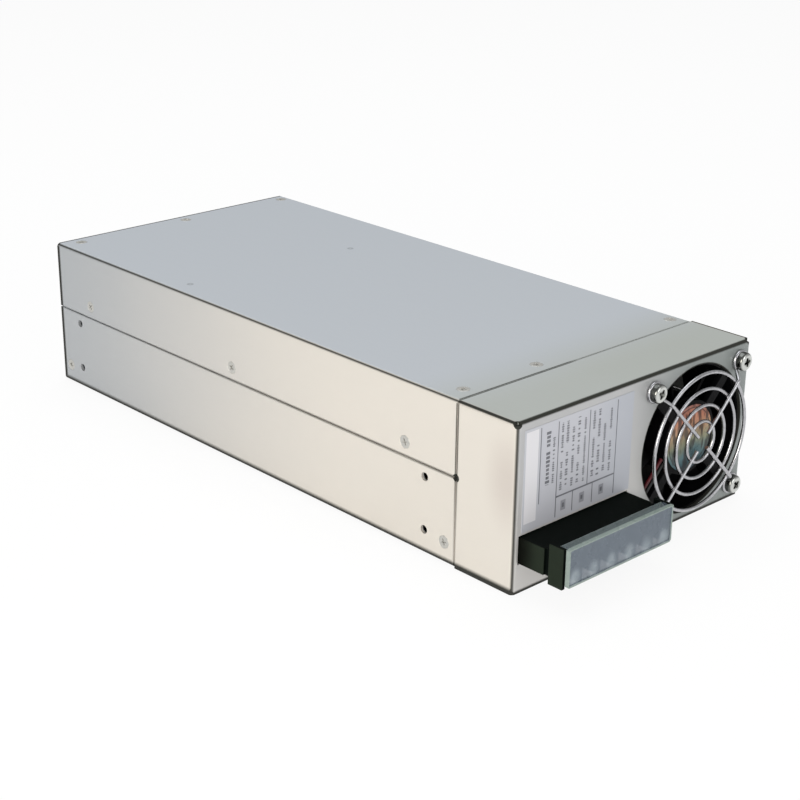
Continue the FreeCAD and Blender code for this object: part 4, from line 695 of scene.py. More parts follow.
fanScrewLook = {
    "radius": 3.6 * mm,
    "rounding": 1.3 * mm,
    "recess": (4.6 * mm, 1.2 * mm, 1.5 * mm),
    # painted reflection: the bright crown, and the dark tone for the middle and rim of each head
    "crown": srgb(204, 206, 202),
    "shade": srgb(26, 28, 25),
    "shadeShare": (0.6, 1.1),
    "middle": (0.8 * mm, 2.0 * mm),
    "rim": (2.9 * mm, 3.5 * mm),
    "cloud": (420, 2),
    "grain": (5200, 2),
    "roughness": (0.16, 0.3),
    "bump": (0.05, 0.1 * mm),
}


def paintPanHead(x, y, z):
    # painted reflection: a dark middle and a dark rim round a bright crown, on each of the four screws alike
    look = fanScrewLook
    pitch = guardLook["screwPitch"]
    across = abs(x - fanCentre.x) - pitch
    up = abs(z - fanCentre.z) - pitch
    away = across.reach(up)
    cloud = x.noise(*look["cloud"])
    # painted reflection: dark in the middle and at the rim
    middle = 1 - away.rise(*look["middle"])
    rim = away.rise(*look["rim"])
    shade = (middle.higher(rim) * cloud.over(*look["shadeShare"])).lower(1)
    return {
        "Base Color": shade.mix(look["crown"], look["shade"]),
        "Roughness": cloud.over(*look["roughness"]),
        "Normal": x.noise(*look["grain"]).bump(*look["bump"]),
    }


def makeFanScrews():
    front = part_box("fan_screws")[0].y
    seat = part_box("finger_guard")[1].y - 2 * guardLook["wire"]
    pitch = guardLook["screwPitch"]
    spots = []
    for across in (-pitch, pitch):
        for up in (-pitch, pitch):
            spots.append((Vector((fanCentre.x + across, front, fanCentre.z + up)), (0, -1, 0)))
    head = screwHead("panHead", seat - front, fanScrewLook)
    panFinish = newFinish("pan_head_nickel", paintPanHead, Metallic=1.0)
    setScrews(head, spots, panFinish, "screw_steel", "fan_screws")


makeFanScrews()
print("fan screws made")

# zinc plating of the flush case screws, close to the sheet's own tone, and of the rear bolts
zincLook = {
    "light": srgb(206, 205, 200),
    "dark": srgb(168, 168, 164),
    "cloud": (900, 3),
    "grain": (4200, 2),
    "roughness": (0.26, 0.46),
    "bump": (0.08, 0.1 * mm),
}
zincFinish = cloudFinish("zinc_plating", zincLook, Metallic=0.6)

# flush screws of the case, in from the sides and the top; places in millimetres
caseScrewLook = {
    "radius": 2.5 * mm,
    "height": 0.9 * mm,
    "rounding": 0.25 * mm,
    "recess": (3.2 * mm, 0.75 * mm, 0.6 * mm),
    "sideRows": {"cover_side_screws": (40, (-85, 15, 115)), "chassis_side_screws": (8.2, (-105.6, 133.5))},
    "topRows": {-104.5: (-54.5, -17.5, 58.5), 133.5: (-54.5, 2, 58.5)},
}


def makeCaseScrews():
    look = caseScrewLook
    sets = {}
    for node, (z, row) in look["sideRows"].items():
        sets[node] = []
        for side in (-1, 1):
            for y in row:
                sets[node].append((Vector((side * halfWidth, y * mm, z * mm)), (side, 0, 0)))
    sets["cover_top_screws"] = []
    for y, row in look["topRows"].items():
        for x in row:
            sets["cover_top_screws"].append((Vector((x * mm, y * mm, caseHeight)), (0, 0, 1)))
    for node, spots in sets.items():
        setScrews(screwHead("flushHead", look["height"], look), spots, zincFinish, "screw_steel", node)


makeCaseScrews()
print("case screws made")

# terminal block: black moulding with a faint green cast
blockLook = {
    "dark": srgb(1, 4, 3),
    "light": srgb(10, 16, 13),
    # painted light: the block's end faces lit, with painted shade near the panel and more light towards the
    # front
    "endShaded": srgb(10, 11, 8),
    "endLit": srgb(36, 43, 35),
    "endLitRun": (139 * mm, 149 * mm),
    "endMottle": (-0.15, 0.15),
    "endSkin": 0.3 * mm,
    "mottle": (260, 3),
    "grain": (4000, 2),
    "roughness": (0.5, 0.7),
    "bump": (0.1, 0.1 * mm),
    "sheen": 0.03,
    "edge": 0.22 * mm,
}


def paintBlock(x, y, z):
    look = blockLook
    low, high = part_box("terminal_block")
    mottle = x.noise(*look["mottle"])
    # painted light on the end faces, fading to painted shade near the panel
    outer = abs(x - (low.x + high.x) / 2) > (high.x - low.x) / 2 - look["endSkin"]
    pale = ((y * -1).rise(*look["endLitRun"]) + mottle.over(*look["endMottle"])).higher(0)
    end = pale.mix(look["endShaded"], look["endLit"])
    return {
        "Base Color": outer.mix(mottle.mix(look["dark"], look["light"]), end),
        "Roughness": mottle.over(*look["roughness"]),
        "Normal": x.noise(*look["grain"]).bump(*look["bump"]),
    }


blockFinish = newFinish("block_moulding_finish", paintBlock, Specular_IOR_Level=blockLook["sheen"])
dress("terminal_block", blockFinish)
softenNode("terminal_block", blockLook["edge"])

# terminal screws with their recesses, seen through the lid
terminalLook = {
    "poles": 6,
    "radius": 2.8 * mm,
    "height": 1.6 * mm,
    "rounding": 0.5 * mm,
    "recess": (4.0 * mm, 0.8 * mm, 0.8 * mm),
}


def poleRow():
    # the first pole's middle, and the step from pole to pole
    low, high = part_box("terminal_screws")
    radius = terminalLook["radius"]
    return low.x + radius, (high.x - low.x - 2 * radius) / (terminalLook["poles"] - 1)


def makeTerminalScrews():
    look = terminalLook
    low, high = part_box("terminal_screws")
    first, pitch = poleRow()
    spots = []
    for step in range(look["poles"]):
        spots.append((Vector((first + pitch * step, low.y, (low.z + high.z) / 2)), (0, -1, 0)))
    head = screwHead("terminalHead", look["height"], look)
    setScrews(head, spots, brightFinish, "contact_tin", "terminal_screws")


makeTerminalScrews()
print("terminal block dressed")

# clear lid: front plate with a raised rim, and a short flange back to the hinge barrel
lidLook = {
    "gauge": 1.3 * mm,
    "rim": 0.9 * mm,
    "step": 0.3 * mm,
    "cornerRadius": 1.2 * mm,
    "cornerRounds": 5,
    "edgeRound": 0.15 * mm,
    "flangeRim": 0.8 * mm,
    "flangeBack": 0.4 * mm,
    "barrel": 1.4 * mm,
    "barrelSides": 32,
    "stub": 0.5,  # of the barrel's radius
    "axisNear": 0.1 * mm,
    "endGap": 1.8 * mm,  # from the block's end to the flange
    "clear": srgb(103, 114, 126),
    # painted light: the pale tone of the patches where the lit screws behind show through the lid
    "litThrough": srgb(164, 176, 184),
    "edge": srgb(136, 150, 144),
    "leftEdge": (0.8, 1.2),  # of the rim, as the next two
    "rightEdge": 0.4,
    "footEdge": (0.4, 1.0),
    "topEdge": (0.5 * mm, 0.2 * mm),
    "lip": (1.2 * mm, 0.3 * mm),
    "plateDepth": 1.6 * mm,
    "flangeFade": 0.3 * mm,
    # painted light: a pale patch before each pole
    "spotLevel": 3.0 * mm,  # of the pale spot before each pole
    "spotFlat": 0.8,
    "spotSize": (0.6 * mm, 3.6 * mm),
    "spotCloud": (-0.1, 1.3),
    "cloud": (160, 3),
    "alpha": 0.72,
    "edgeAlpha": 0.2,
    "flangeAlpha": 0.42,
    "roughness": (0.2, 0.35),
    "bump": (0.15, 0.6 * mm),
}


def paintLid(x, y, z):
    look = lidLook
    low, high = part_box("terminal_cover")
    rim = look["rim"]
    cloud = x.noise(*look["cloud"])
    left = 1 - (x - low.x).rise(*(rim * share for share in look["leftEdge"]))
    right = (x - (high.x - rim)).rise(0, rim * look["rightEdge"])
    foot = 1 - (z - low.z).rise(*(rim * share for share in look["footEdge"]))
    topDepth, topFade = look["topEdge"]
    top = (z - (high.z - topDepth)).rise(0, topFade)
    lipDepth, lipFade = look["lip"]
    lips = (y - (high.y - lipDepth)).rise(0, lipFade)
    levels = foot.higher(top) * (y < low.y + look["plateDepth"])
    edges = left.higher(right).higher(levels).higher(lips)
    # painted light: a pale patch before each pole, where the lit screw behind shows through
    first, pitch = poleRow()
    beside = (x - first + pitch / 2) % pitch - pitch / 2
    fromSpot = beside.reach((z - low.z - look["spotLevel"]) * look["spotFlat"])
    litPatch = (1 - fromSpot.rise(*look["spotSize"])) * cloud.over(*look["spotCloud"])
    body = litPatch.higher(0).lower(1).mix(look["clear"], look["litThrough"])
    flange = (y - low.y - look["gauge"]).rise(0, look["flangeFade"]) * (1 - edges)
    return {
        "Base Color": edges.mix(body, look["edge"]),
        "Alpha": look["alpha"] + edges * look["edgeAlpha"] - flange * look["flangeAlpha"],
        "Roughness": cloud.over(*look["roughness"]),
        "Normal": cloud.bump(*look["bump"]),
    }


def makeLid():
    look = lidLook
    low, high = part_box("terminal_cover")
    gauge = look["gauge"]
    middle = Vector(((low.x + high.x) / 2, low.y + gauge / 2, (low.z + high.z) / 2))
    plate = newPiece(
        "lidPlate",
        bpy.ops.mesh.primitive_cube_add,
        size=1,
        location=middle,
        scale=(high.x - low.x, gauge, high.z - low.z),
    )

    def lowCorner(start, end):
        return max(start.z, end.z) < middle.z and abs(start.y - end.y) > gauge / 2

    pickEdges(plate, lowCorner)
    bpy.ops.mesh.bevel(offset=look["cornerRadius"], segments=look["cornerRounds"], affect="EDGES")
    pickFaces(plate, facing(0, -1, 0))
    bpy.ops.mesh.inset(thickness=look["rim"])
    extrude(0, look["step"], 0)
    bpy.ops.object.mode_set(mode="OBJECT")

    hingeY = high.y - look["barrel"]
    hingeZ = high.z - look["barrel"]
    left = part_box("terminal_block")[0].x + look["endGap"]
    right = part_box("terminal_block")[1].x - look["endGap"]
    back = look["flangeBack"]
    flange = newPiece(
        "lidFlange",
        bpy.ops.mesh.primitive_cube_add,
        size=1,
        location=((left + right) / 2, (low.y + hingeY) / 2 + back, high.z - gauge / 2),
        scale=(right - left, hingeY - low.y - 2 * back, gauge),
    )
    pickFaces(flange, facing(0, 0, 1))
    bpy.ops.mesh.inset(thickness=look["flangeRim"])
    extrude(0, 0, -look["step"])
    bpy.ops.object.mode_set(mode="OBJECT")

    barrel = newPiece(
        "lidBarrel",
        bpy.ops.mesh.primitive_cylinder_add,
        vertices=look["barrelSides"],
        radius=look["barrel"],
        depth=right - left,
        location=((left + right) / 2, hingeY, hingeZ),
        rotation=(0, math.pi / 2, 0),
    )
    pickFaces(barrel, lambda centre, normal: abs(normal.x) > meshLook["facing"])
    bpy.ops.mesh.extrude_region_shrink_fatten(TRANSFORM_OT_shrink_fatten={"value": 0.0})
    bpy.ops.transform.resize(value=(1, look["stub"], look["stub"]), center_override=(0, hingeY, hingeZ))
    for side, end, way in ((low.x, left, -1), (high.x, right, 1)):

        def stubFace(centre, normal):
            fromAxis = (centre.yz - Vector((hingeY, hingeZ))).length
            return normal.x * way > meshLook["facing"] and fromAxis < look["axisNear"]

        pickFaces(barrel, stubFace)
        extrude(side - end, 0, 0)
    bpy.ops.object.mode_set(mode="OBJECT")

    for part in (flange, barrel):
        applyModifier(plate, "BOOLEAN", operation="UNION", object=part, solver="EXACT")
        bpy.data.objects.remove(part)
    plate.name = "lid_clear"
    plate.data.name = "lid_clear"
    roundEdges(plate, look["edgeRound"], 2)
    smoothPiece(plate, 40)
    fitPiece(plate, newFinish("lid_frosted", paintLid), "terminal_lid", "clear_lid", "terminal_cover")


makeLid()
print("lid made")

# printed foil: pale sheet with ruled columns and rows of small dashes; places in millimetres
labelLook = {
    "paper": srgb(179, 181, 189),
    "paperFar": srgb(166, 170, 179),
    "paperRun": (-35, -5),
    "strip": srgb(208, 208, 213),
    "stripAcross": (-59.2, -53.2),
    "stripUp": (25.5, 59.0),
    "ink": srgb(44, 45, 56),
    "inkShare": (0.6, 0.95),
    "rules": (-52.0, -43.3, -27.3, -12.8),
    "ruleLine": (0.12, 0.3),
    "ruledUp": (31.0, 59.0),
    "footLine": (0.2, 0.4),
    "rows": (  # place across, half the height, bottom, top
        (-48.2, 1.0, 37.0, 57.5),
        (-45.4, 0.5, 37.0, 54.0),
        (-41.2, 0.55, 47.0, 58.0),
        (-41.2, 0.55, 33.0, 43.5),
        (-38.6, 0.6, 34.0, 46.5),
        (-38.6, 0.6, 50.0, 58.0),
        (-35.6, 0.55, 33.0, 55.0),
        (-32.8, 0.6, 33.5, 41.0),
        (-32.8, 0.6, 44.0, 58.0),
        (-29.6, 0.5, 33.0, 57.0),
        (-25.0, 0.6, 33.5, 48.0),
        (-25.0, 0.6, 51.0, 58.0),
        (-22.2, 0.65, 33.0, 44.5),
        (-22.2, 0.65, 47.5, 58.0),
        (-19.2, 0.55, 34.0, 52.0),
        (-16.0, 0.55, 33.0, 45.0),
        (-16.0, 0.55, 49.0, 57.0),
    ),
    "rowSeed": 37,
    "dashPitch": 1.5,  # of the row's half height
    "dashSpan": (0.1, 0.78),
    "dashHeight": (0.6, 1.2),
    "dashGaps": 0.16,  # share of the dashes that is left blank
    "cells": (-43.3, -34.7, -24.4, -12.8),
    "cellsUp": (23.4, 31.0),
    "marks": (-39.4, -29.8, -19.6),
    "markLevel": 27.0,
    "markSlim": 1.5,
    "markSize": 1.9,
    "markShade": 0.55,
    "markCore": 0.8,
    "coreShade": 0.45,
    "cloud": (320, 2),
    "grain": (1800, 2),
    "roughness": (0.34, 0.44),
    "bump": (0.05, 0.1 * mm),
}


def paintLabel(x, y, z):
    look = labelLook
    across = x / mm
    up = z / mm
    cloud = x.noise(*look["cloud"])
    cells = look["cells"]
    lines = up.near(look["ruledUp"][0], *look["footLine"]) * across.within(cells[0], cells[-1])
    for columns, span in ((look["rules"], look["ruledUp"]), (cells, look["cellsUp"])):
        tall = up.within(*span)
        for column in columns:
            lines = lines.higher(across.near(column, *look["ruleLine"]) * tall)
    for step, (row, half, bottom, top) in enumerate(look["rows"]):
        along = up / (half * look["dashPitch"])
        height = (x.maths("FLOOR", along) + step * look["rowSeed"]).chance()
        drawn = (height > look["dashGaps"]) * (along % 1.0).within(*look["dashSpan"])
        dash = abs(across - row) < height.over(*look["dashHeight"]) * half
        lines = lines.higher(dash * up.within(bottom, top) * drawn)
    for column in look["marks"]:
        square = (abs(across - column) * look["markSlim"]).higher(abs(up - look["markLevel"]))
        shade = look["markShade"] + (square < look["markCore"]) * look["coreShade"]
        lines = lines.higher((square < look["markSize"]) * shade)
    strip = across.within(*look["stripAcross"]) * up.within(*look["stripUp"])
    paper = across.rise(*look["paperRun"]).mix(look["paper"], look["paperFar"])
    paper = strip.mix(paper, look["strip"])
    return {
        "Base Color": (lines * cloud.over(*look["inkShare"])).mix(paper, look["ink"]),
        "Roughness": cloud.over(*look["roughness"]),
        "Normal": x.noise(*look["grain"]).bump(*look["bump"]),
    }


dress("rating_label", newFinish("label_foil_finish", paintLabel, Metallic=0.1))
print("label printed")

# fan: black frame and rotor, coloured foil on the motor base, round leads
fanLook = {
    "dark": srgb(5, 5, 6),
    "light": srgb(12, 12, 14),
    "cloud": (240, 2),
    "grain": (3600, 2),
    "roughness": (0.37, 0.53),
    "bump": (0.08, 0.1 * mm),
    "sheen": 0.08,
    "edge": 0.2 * mm,
}
fanFinish = cloudFinish("fan_plastic_finish", fanLook, Specular_IOR_Level=fanLook["sheen"])
dress("fan_frame", fanFinish)
softenNode("fan_frame", fanLook["edge"])

foilLook = {
    "radius": 13 * mm,
    "stops": (  # from the foil's foot to its top
        (0.0, srgb(34, 66, 82)),
        (0.25, srgb(84, 116, 122)),
        (0.42, srgb(140, 142, 116)),
        (0.6, srgb(184, 148, 116)),
        (0.8, srgb(200, 132, 104)),
        (1.0, srgb(150, 100, 94)),
    ),
    "sheen": (120, 3),
    "sheenShift": (-0.15, 0.15),
    # the dark tone for the painted shadow of a guard ring and for dark streaks
    "foilDark": srgb(26, 20, 18),
    "foilDarkCloud": (420, 2, (1, 1, 0.3)),
    "foilDarkEdges": (0.47, 0.6),
    "foilDarkShare": 0.8,
    # painted shadow: a dark ring cast on the foil by the guard wire
    "ring": 11.8 * mm,
    "guardShadowLine": (0.15 * mm, 0.35 * mm),
    "roughness": (0.22, 0.37),
    "bump": (0.1, 0.3 * mm),
}


def paintFoil(x, y, z):
    look = foilLook
    height = z - fanCentre.z
    sheen = x.noise(*look["sheen"])
    share = (height + look["radius"]) / (2 * look["radius"]) + sheen.over(*look["sheenShift"])
    colour = share.ramp(*look["stops"])
    # painted shadow of a guard ring, and dark streaks in clouds
    ring = (x - fanCentre.x).reach(height).near(look["ring"], *look["guardShadowLine"])
    foilDark = x.noise(*look["foilDarkCloud"]).rise(*look["foilDarkEdges"])
    return {
        "Base Color": (ring.higher(foilDark) * look["foilDarkShare"]).mix(colour, look["foilDark"]),
        "Roughness": sheen.over(*look["roughness"]),
        "Normal": sheen.bump(*look["bump"]),
    }


dress("fan_label", newFinish("fan_foil_finish", paintFoil, Metallic=0.35))

leadLook = {
    "wire": 0.65 * mm,
    "sides": 16,
    "bend": 3.0 * mm,
    "turn": 31.0 * mm,  # from the fan's axis along the strut, as each start
    "black": {"start": 14.25 * mm, "offset": 3.9 * mm, "dark": srgb(10, 10, 11), "light": srgb(26, 26, 28)},
    "red": {"start": 13.5 * mm, "offset": 6.2 * mm, "dark": srgb(58, 4, 13), "light": srgb(92, 9, 22)},
    "cloud": (420, 2),
    "grain": (3000, 2),
    "roughness": (0.36, 0.51),
    "bump": (0.06, 0.1 * mm),
}


def makeLeads():
    slant = math.sqrt(0.5)  # the strut lies at 45 degrees
    for colour in ("black", "red"):
        look = {**leadLook, **leadLook[colour]}
        node = f"fan_lead_{colour}"
        low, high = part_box(node)
        front = low.y + look["wire"]
        offset = look["offset"]
        route = []
        for along, y in ((-look["start"], front), (-look["turn"], front), (-look["turn"], high.y)):
            route.append((fanCentre.x + (along - offset) * slant, y, fanCentre.z + (along + offset) * slant))
        lead = wireRoute(f"lead_{colour}_wire", route, look["wire"], look["bend"], look["sides"])
        smoothPiece(lead)
        fitPiece(lead, cloudFinish(f"lead_{colour}_finish", look), "case", f"lead_{colour}", node)


makeLeads()

# rotor: a hub cup and helical blades
rotorLook = {
    "blades": 7,
    "root": 14.4 * mm,
    "tip": 27.2 * mm,
    "twist": 40,
    "advance": 13.0 * mm,
    "thick": 1.1 * mm,
    "bladeCuts": 5,
    "bladeSteps": 10,
    "bladeRound": 0.35 * mm,
    "hub": 15.0 * mm,
    "hubSides": 64,
    "wall": 1.8 * mm,
    "cupFloor": 2.5 * mm,
    "hubRound": 1.0 * mm,
}


def makeHub(depth):
    look = rotorLook
    hub = newPiece(
        "rotorHub",
        bpy.ops.mesh.primitive_cylinder_add,
        vertices=look["hubSides"],
        radius=look["hub"],
        depth=depth,
        rotation=(math.pi / 2, 0, 0),
    )
    pickFaces(hub, facing(0, -1, 0))
    bpy.ops.mesh.inset(thickness=look["wall"])
    extrude(0, depth - look["cupFloor"], 0)
    pickFaces(hub, facing(0, 1, 0))
    bpy.ops.mesh.bevel(offset=look["hubRound"], segments=4, affect="EDGES")
    bpy.ops.object.mode_set(mode="OBJECT")
    return hub


def makeBlade():
    # one edge of a plane, stretched from root to tip and screwed along the axis
    look = rotorLook
    root = look["root"]
    tip = look["tip"]
    blade = newPiece("rotorBlade", bpy.ops.mesh.primitive_plane_add, size=1)
    bpy.ops.object.mode_set(mode="EDIT")
    bpy.ops.mesh.select_all(action="SELECT")
    bpy.ops.mesh.delete(type="ONLY_FACE")
    bpy.ops.object.mode_set(mode="OBJECT")
    for vertex in blade.data.vertices:
        vertex.select = vertex.co.y > 0
    bpy.ops.object.mode_set(mode="EDIT")
    bpy.ops.mesh.delete(type="VERT")
    bpy.ops.mesh.select_all(action="SELECT")
    bpy.ops.transform.resize(value=(tip - root, 1, 1), center_override=(0, 0, 0))
    bpy.ops.transform.translate(value=((tip + root) / 2, 0.5 - look["advance"] / 2, 0))
    bpy.ops.mesh.subdivide(number_cuts=look["bladeCuts"])
    bpy.ops.object.mode_set(mode="OBJECT")
    applyModifier(
        blade,
        "SCREW",
        axis="Y",
        angle=math.radians(look["twist"]),
        screw_offset=look["advance"],
        steps=look["bladeSteps"],
        render_steps=look["bladeSteps"],
        use_normal_calculate=True,
    )
    applyModifier(blade, "SOLIDIFY", thickness=look["thick"], offset=0)
    roundEdges(blade, look["bladeRound"], 3)
    return blade


def makeRotor():
    low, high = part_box("fan_rotor")
    count = rotorLook["blades"]
    hub = makeHub(high.y - low.y)
    blade = makeBlade()
    blades = []
    for step in range(count):
        turn = Matrix.Rotation(math.tau * step / count, 4, "Y")
        blades.append(copyPiece(blade, f"rotorBlade{step}", turn))
    bpy.data.objects.remove(blade)
    wheel = joinPieces([hub, *blades], "rotor_wheel")
    wheel.data.transform(Matrix.Translation((fanCentre.x, (low.y + high.y) / 2, fanCentre.z)))
    smoothPiece(wheel, 40)
    fitPiece(wheel, fanFinish, "fan_wheel", "fan_plastic", "fan_rotor")


makeRotor()
print("fan dressed")

# rear output: hex bolts with cut threads; bars, nuts and insulator with rounded edges
boltLook = {
    "hex": 4.6 * mm,
    "chamfer": 0.45 * mm,
    "cornerNear": 0.01 * mm,
    "thread": 2.5 * mm,
    "core": 2.1 * mm,
    "pitch": 0.8 * mm,
    "sides": 24,
    "sunk": 0.1 * mm,  # how deep in the head the shank starts
    "point": 0.8,
}
rearEdges = {
    "busbar_positive": 0.5 * mm,
    "busbar_negative": 0.5 * mm,
    "busbar_nuts": 0.3 * mm,
    "busbar_insulator": 0.4 * mm,
}


def boltHead(bottom, top):
    look = boltLook
    head = newPiece(
        "boltHead",
        bpy.ops.mesh.primitive_cylinder_add,
        vertices=6,
        radius=look["hex"],
        depth=top - bottom,
        location=(0, 0, (top + bottom) / 2),
        rotation=(0, 0, math.pi / 6),
    )
    pickFaces(head, facing(0, 0, 1))
    bpy.ops.mesh.inset(thickness=look["chamfer"])

    def topCorner(point):
        near = look["cornerNear"]
        return point.z > top - near and point.xy.length > look["hex"] - near

    pickEdges(head, lambda start, end: topCorner(start) and topCorner(end))
    bpy.ops.transform.translate(value=(0, 0, -look["chamfer"]))
    bpy.ops.object.mode_set(mode="OBJECT")
    return head


def boltShank(bottom, top):
    # a disc extruded downwards in half pitches, narrow and wide in turn
    look = boltLook
    start = top + look["sunk"]
    shank = newPiece(
        "boltShank",
        bpy.ops.mesh.primitive_circle_add,
        vertices=look["sides"],
        radius=look["thread"],
        fill_type="NGON",
        location=(0, 0, start),
    )
    bpy.ops.object.mode_set(mode="EDIT")
    bpy.ops.mesh.select_all(action="SELECT")
    halves = 2 * int((top - bottom) / look["pitch"])
    narrow = look["core"] / look["thread"]
    wide = look["thread"] / look["core"]
    for step in range(halves):
        share = wide if step % 2 else narrow
        extrude(0, 0, -(start - bottom) / halves)
        bpy.ops.transform.resize(value=(share, share, 1), center_override=(0, 0, 0))
    bpy.ops.transform.resize(value=(look["point"], look["point"], 1), center_override=(0, 0, 0))
    bpy.ops.object.mode_set(mode="OBJECT")
    return shank


def makeBolts():
    low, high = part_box("busbar_bolts")
    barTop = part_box("busbar_positive")[1].z
    bolt = joinPieces([boltHead(barTop, high.z), boltShank(low.z, barTop)], "boltPattern")
    smoothPiece(bolt, 25)
    for step, bar in enumerate(("busbar_positive", "busbar_negative")):
        barLow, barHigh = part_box(bar)
        place = Vector(((barLow.x + barHigh.x) / 2, (low.y + high.y) / 2, 0))
        twin = copyPiece(bolt, f"busbar_bolt_{step + 1}", Matrix.Translation(place))
        fitPiece(twin, zincFinish, "case", "screw_steel", "busbar_bolts")
    bpy.data.objects.remove(bolt)


makeBolts()
for name, width in rearEdges.items():
    softenNode(name, width)

# signal connector: rounded shell and eight square pins in its mouth
pinLook = {
    "count": 8,
    "pitch": 2.15 * mm,
    "width": 0.64 * mm,
    "length": 7.4 * mm,
    "back": 1.8 * mm,
    "tip": 0.6 * mm,
    "taper": 0.55,
    "shellEdge": 0.25 * mm,
}


def makePins():
    look = pinLook
    low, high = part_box("signal_connector")
    middle = (low + high) / 2
    pattern = newPiece(
        "pinPattern",
        bpy.ops.mesh.primitive_cube_add,
        size=1,
        location=(0, high.y - look["back"] - look["length"] / 2, middle.z),
        scale=(look["width"], look["length"], look["width"]),
    )
    pickFaces(pattern, facing(0, 1, 0))
    extrude(0, look["tip"], 0)
    bpy.ops.transform.resize(value=(look["taper"], 1, look["taper"]), center_override=(0, 0, middle.z))
    bpy.ops.object.mode_set(mode="OBJECT")
    pins = []
    for step in range(look["count"]):
        shift = middle.x + (step - (look["count"] - 1) / 2) * look["pitch"]
        pins.append(copyPiece(pattern, f"signalPin{step}", Matrix.Translation((shift, 0, 0))))
    bpy.data.objects.remove(pattern)
    joined = joinPieces(pins, "signal_pins")
    smoothPiece(joined, 30)
    fitPiece(joined, brightFinish, "case", "contact_tin")


makePins()
softenNode("signal_connector", pinLook["shellEdge"])

# status lamp: a round lens with a domed end on its holder
lampLook = {
    "radius": 1.5 * mm,
    "length": 14.5 * mm,
    "sides": 32,
    "dome": 1.2 * mm,
    "holder": 3 * mm,
    "holderEdge": 0.4 * mm,
    "dark": srgb(70, 168, 96),
    "light": srgb(168, 214, 172),
    "cloud": (700, 2),
    "grain": (700, 2),
    "roughness": (0.16, 0.28),
    "bump": (0.06, 0.2 * mm),
}


def makeLamp():
    look = lampLook
    low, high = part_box("status_lamp")
    middle = (low + high) / 2
    radius = look["radius"]
    lens = newPiece(
        "lampLens",
        bpy.ops.mesh.primitive_cylinder_add,
        vertices=look["sides"],
        radius=radius,
        depth=look["length"],
        location=(middle.x, high.y - look["length"] / 2, high.z - radius),
        rotation=(math.pi / 2, 0, 0),
    )
    pickFaces(lens, facing(0, 1, 0))
    bpy.ops.mesh.bevel(offset=look["dome"], segments=5, affect="EDGES")
    bpy.ops.object.mode_set(mode="OBJECT")
    holder = newPiece(
        "lampHolder",
        bpy.ops.mesh.primitive_cube_add,
        size=1,
        location=(middle.x, low.y + look["holder"] / 2, middle.z),
        scale=(2 * radius, look["holder"], high.z - low.z),
    )
    pickFaces(holder, facing(0, 0, 1))
    bpy.ops.mesh.bevel(offset=look["holderEdge"], segments=2, affect="EDGES")
    bpy.ops.object.mode_set(mode="OBJECT")
    lamp = joinPieces([lens, holder], "status_lens")
    smoothPiece(lamp, 40)
    fitPiece(lamp, cloudFinish("lamp_lens_finish", look), "case", "lamp_lens", "status_lamp")


makeLamp()
print("rear parts made")

# floor, lights and camera
stageLook = {
    "floorSize": 6.0,
    "floorBelow": 0.2 * mm,
    "floorPaint": srgb(250, 250, 250),
    "floorRough": 0.9,
    "whiteShare": 0.9,
    "world": 0.5,
    "white": (1, 1, 1, 1),
}


def makeFloor():
    look = stageLook
    bpy.ops.object.select_all(action="DESELECT")
    bpy.ops.mesh.primitive_plane_add(size=look["floorSize"], location=(0, 0, -look["floorBelow"]))
    floor = bpy.context.object
    floor.name = "floor"
    material = bpy.data.materials.new("floor_paint")
    material.use_nodes = True
    tree = material.node_tree
    start = Shade(tree)
    paint = tree.nodes["Principled BSDF"]
    paint.inputs["Base Color"].default_value = look["floorPaint"]
    paint.inputs["Roughness"].default_value = look["floorRough"]
    white = start.node("ShaderNodeEmission", inputs={"Color": look["white"], "Strength": 1.0})
    rays = start.node("ShaderNodeLightPath", output="Is Camera Ray")
    glossy = start.node("ShaderNodeLightPath", output="Is Glossy Ray")
    through = start.node("ShaderNodeLightPath", output="Is Transmission Ray")
    share = rays.higher(glossy).higher(through) * look["whiteShare"]
    both = start.node("ShaderNodeMixShader", inputs={0: share, 1: Shade(tree, paint.outputs[0]), 2: white})
    tree.links.new(both.socket, tree.nodes["Material Output"].inputs["Surface"])
    floor.data.materials.append(material)


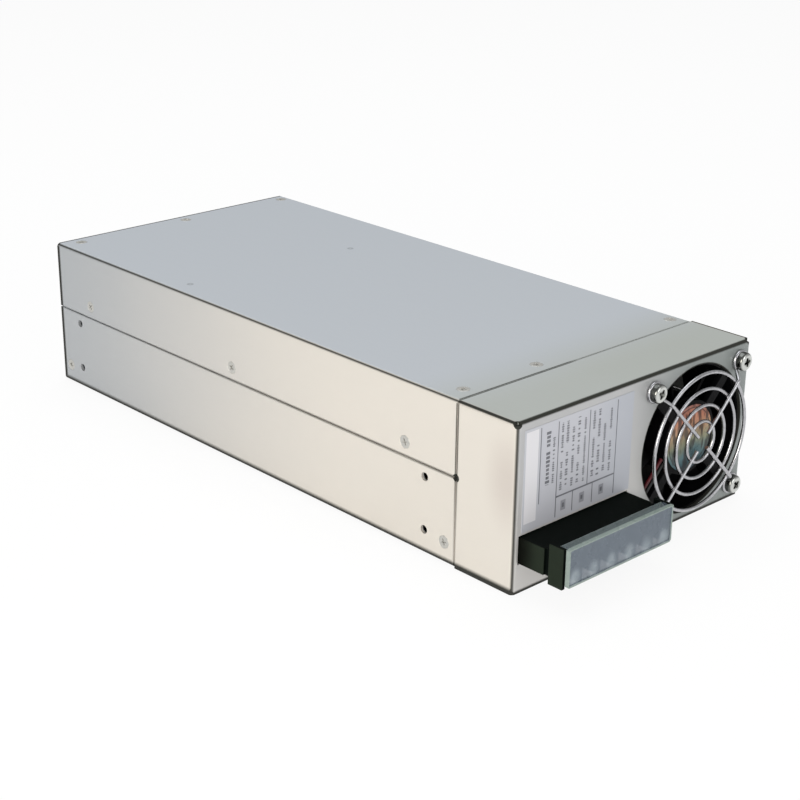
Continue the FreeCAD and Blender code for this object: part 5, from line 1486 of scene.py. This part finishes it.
def makeWorld():
    world = bpy.data.worlds.new("studio")
    bpy.context.scene.world = world
    world.use_nodes = True
    tree = world.node_tree
    rays = Shade(tree).node("ShaderNodeLightPath", output="Is Camera Ray")
    glow = rays.over(stageLook["world"], 1)
    tree.links.new(glow.socket, tree.nodes["Background"].inputs["Strength"])
    tree.nodes["Background"].inputs["Color"].default_value = stageLook["white"]


studioLights = {
    "sideBox": {
        "place": (-0.8, -0.6, 0.3),
        "aim": (-0.06, -0.09, 0.03),
        "size": 0.5,
        "power": 6.2,
        "tint": (1.0, 0.955, 0.88),
    },
    "frontBox": {
        "place": (0.2, -1.2, 0.45),
        "aim": (0.0, -0.14, 0.03),
        "size": 0.6,
        "power": 2.2,
        "tint": (1, 1, 1),
    },
    "topBox": {
        "place": (0.1, 0.3, 1.2),
        "aim": (0.0, 0.05, 0.06),
        "size": 1.0,
        "power": 6.5,
        "tint": (0.95, 0.98, 1.0),
    },
}


def aimed(setup):
    way = Vector(setup["aim"]) - Vector(setup["place"])
    return way.to_track_quat("-Z", "Y")


def makeLights():
    for name, setup in studioLights.items():
        bpy.ops.object.light_add(type="AREA", location=setup["place"])
        light = bpy.context.object
        light.name = name
        light.data.size = setup["size"]
        light.data.energy = setup["power"]
        light.data.color = setup["tint"]
        light.rotation_euler = aimed(setup).to_euler()


cameraSetup = {
    "place": (-0.44027, -0.4841, 0.27262),
    "aim": (-0.02299, -0.03912, 0.03175),
    "roll": 0.6811,  # degrees, the right-hand side up
    "lens": 75.77,
    "sensor": 36.0,
    "nearest": 10 * mm,
}


def makeCamera():
    bpy.ops.object.camera_add(location=cameraSetup["place"])
    camera = bpy.context.object
    camera.name = "photoCamera"
    camera.data.lens = cameraSetup["lens"]
    camera.data.sensor_width = cameraSetup["sensor"]
    camera.data.clip_start = cameraSetup["nearest"]
    roll = Matrix.Rotation(math.radians(cameraSetup["roll"]), 3, "Z")
    camera.rotation_euler = (aimed(cameraSetup).to_matrix() @ roll).to_euler()
    bpy.context.scene.camera = camera


makeFloor()
makeWorld()
makeLights()
makeCamera()
bpy.context.scene.view_settings.view_transform = "Standard"
print("stage set")
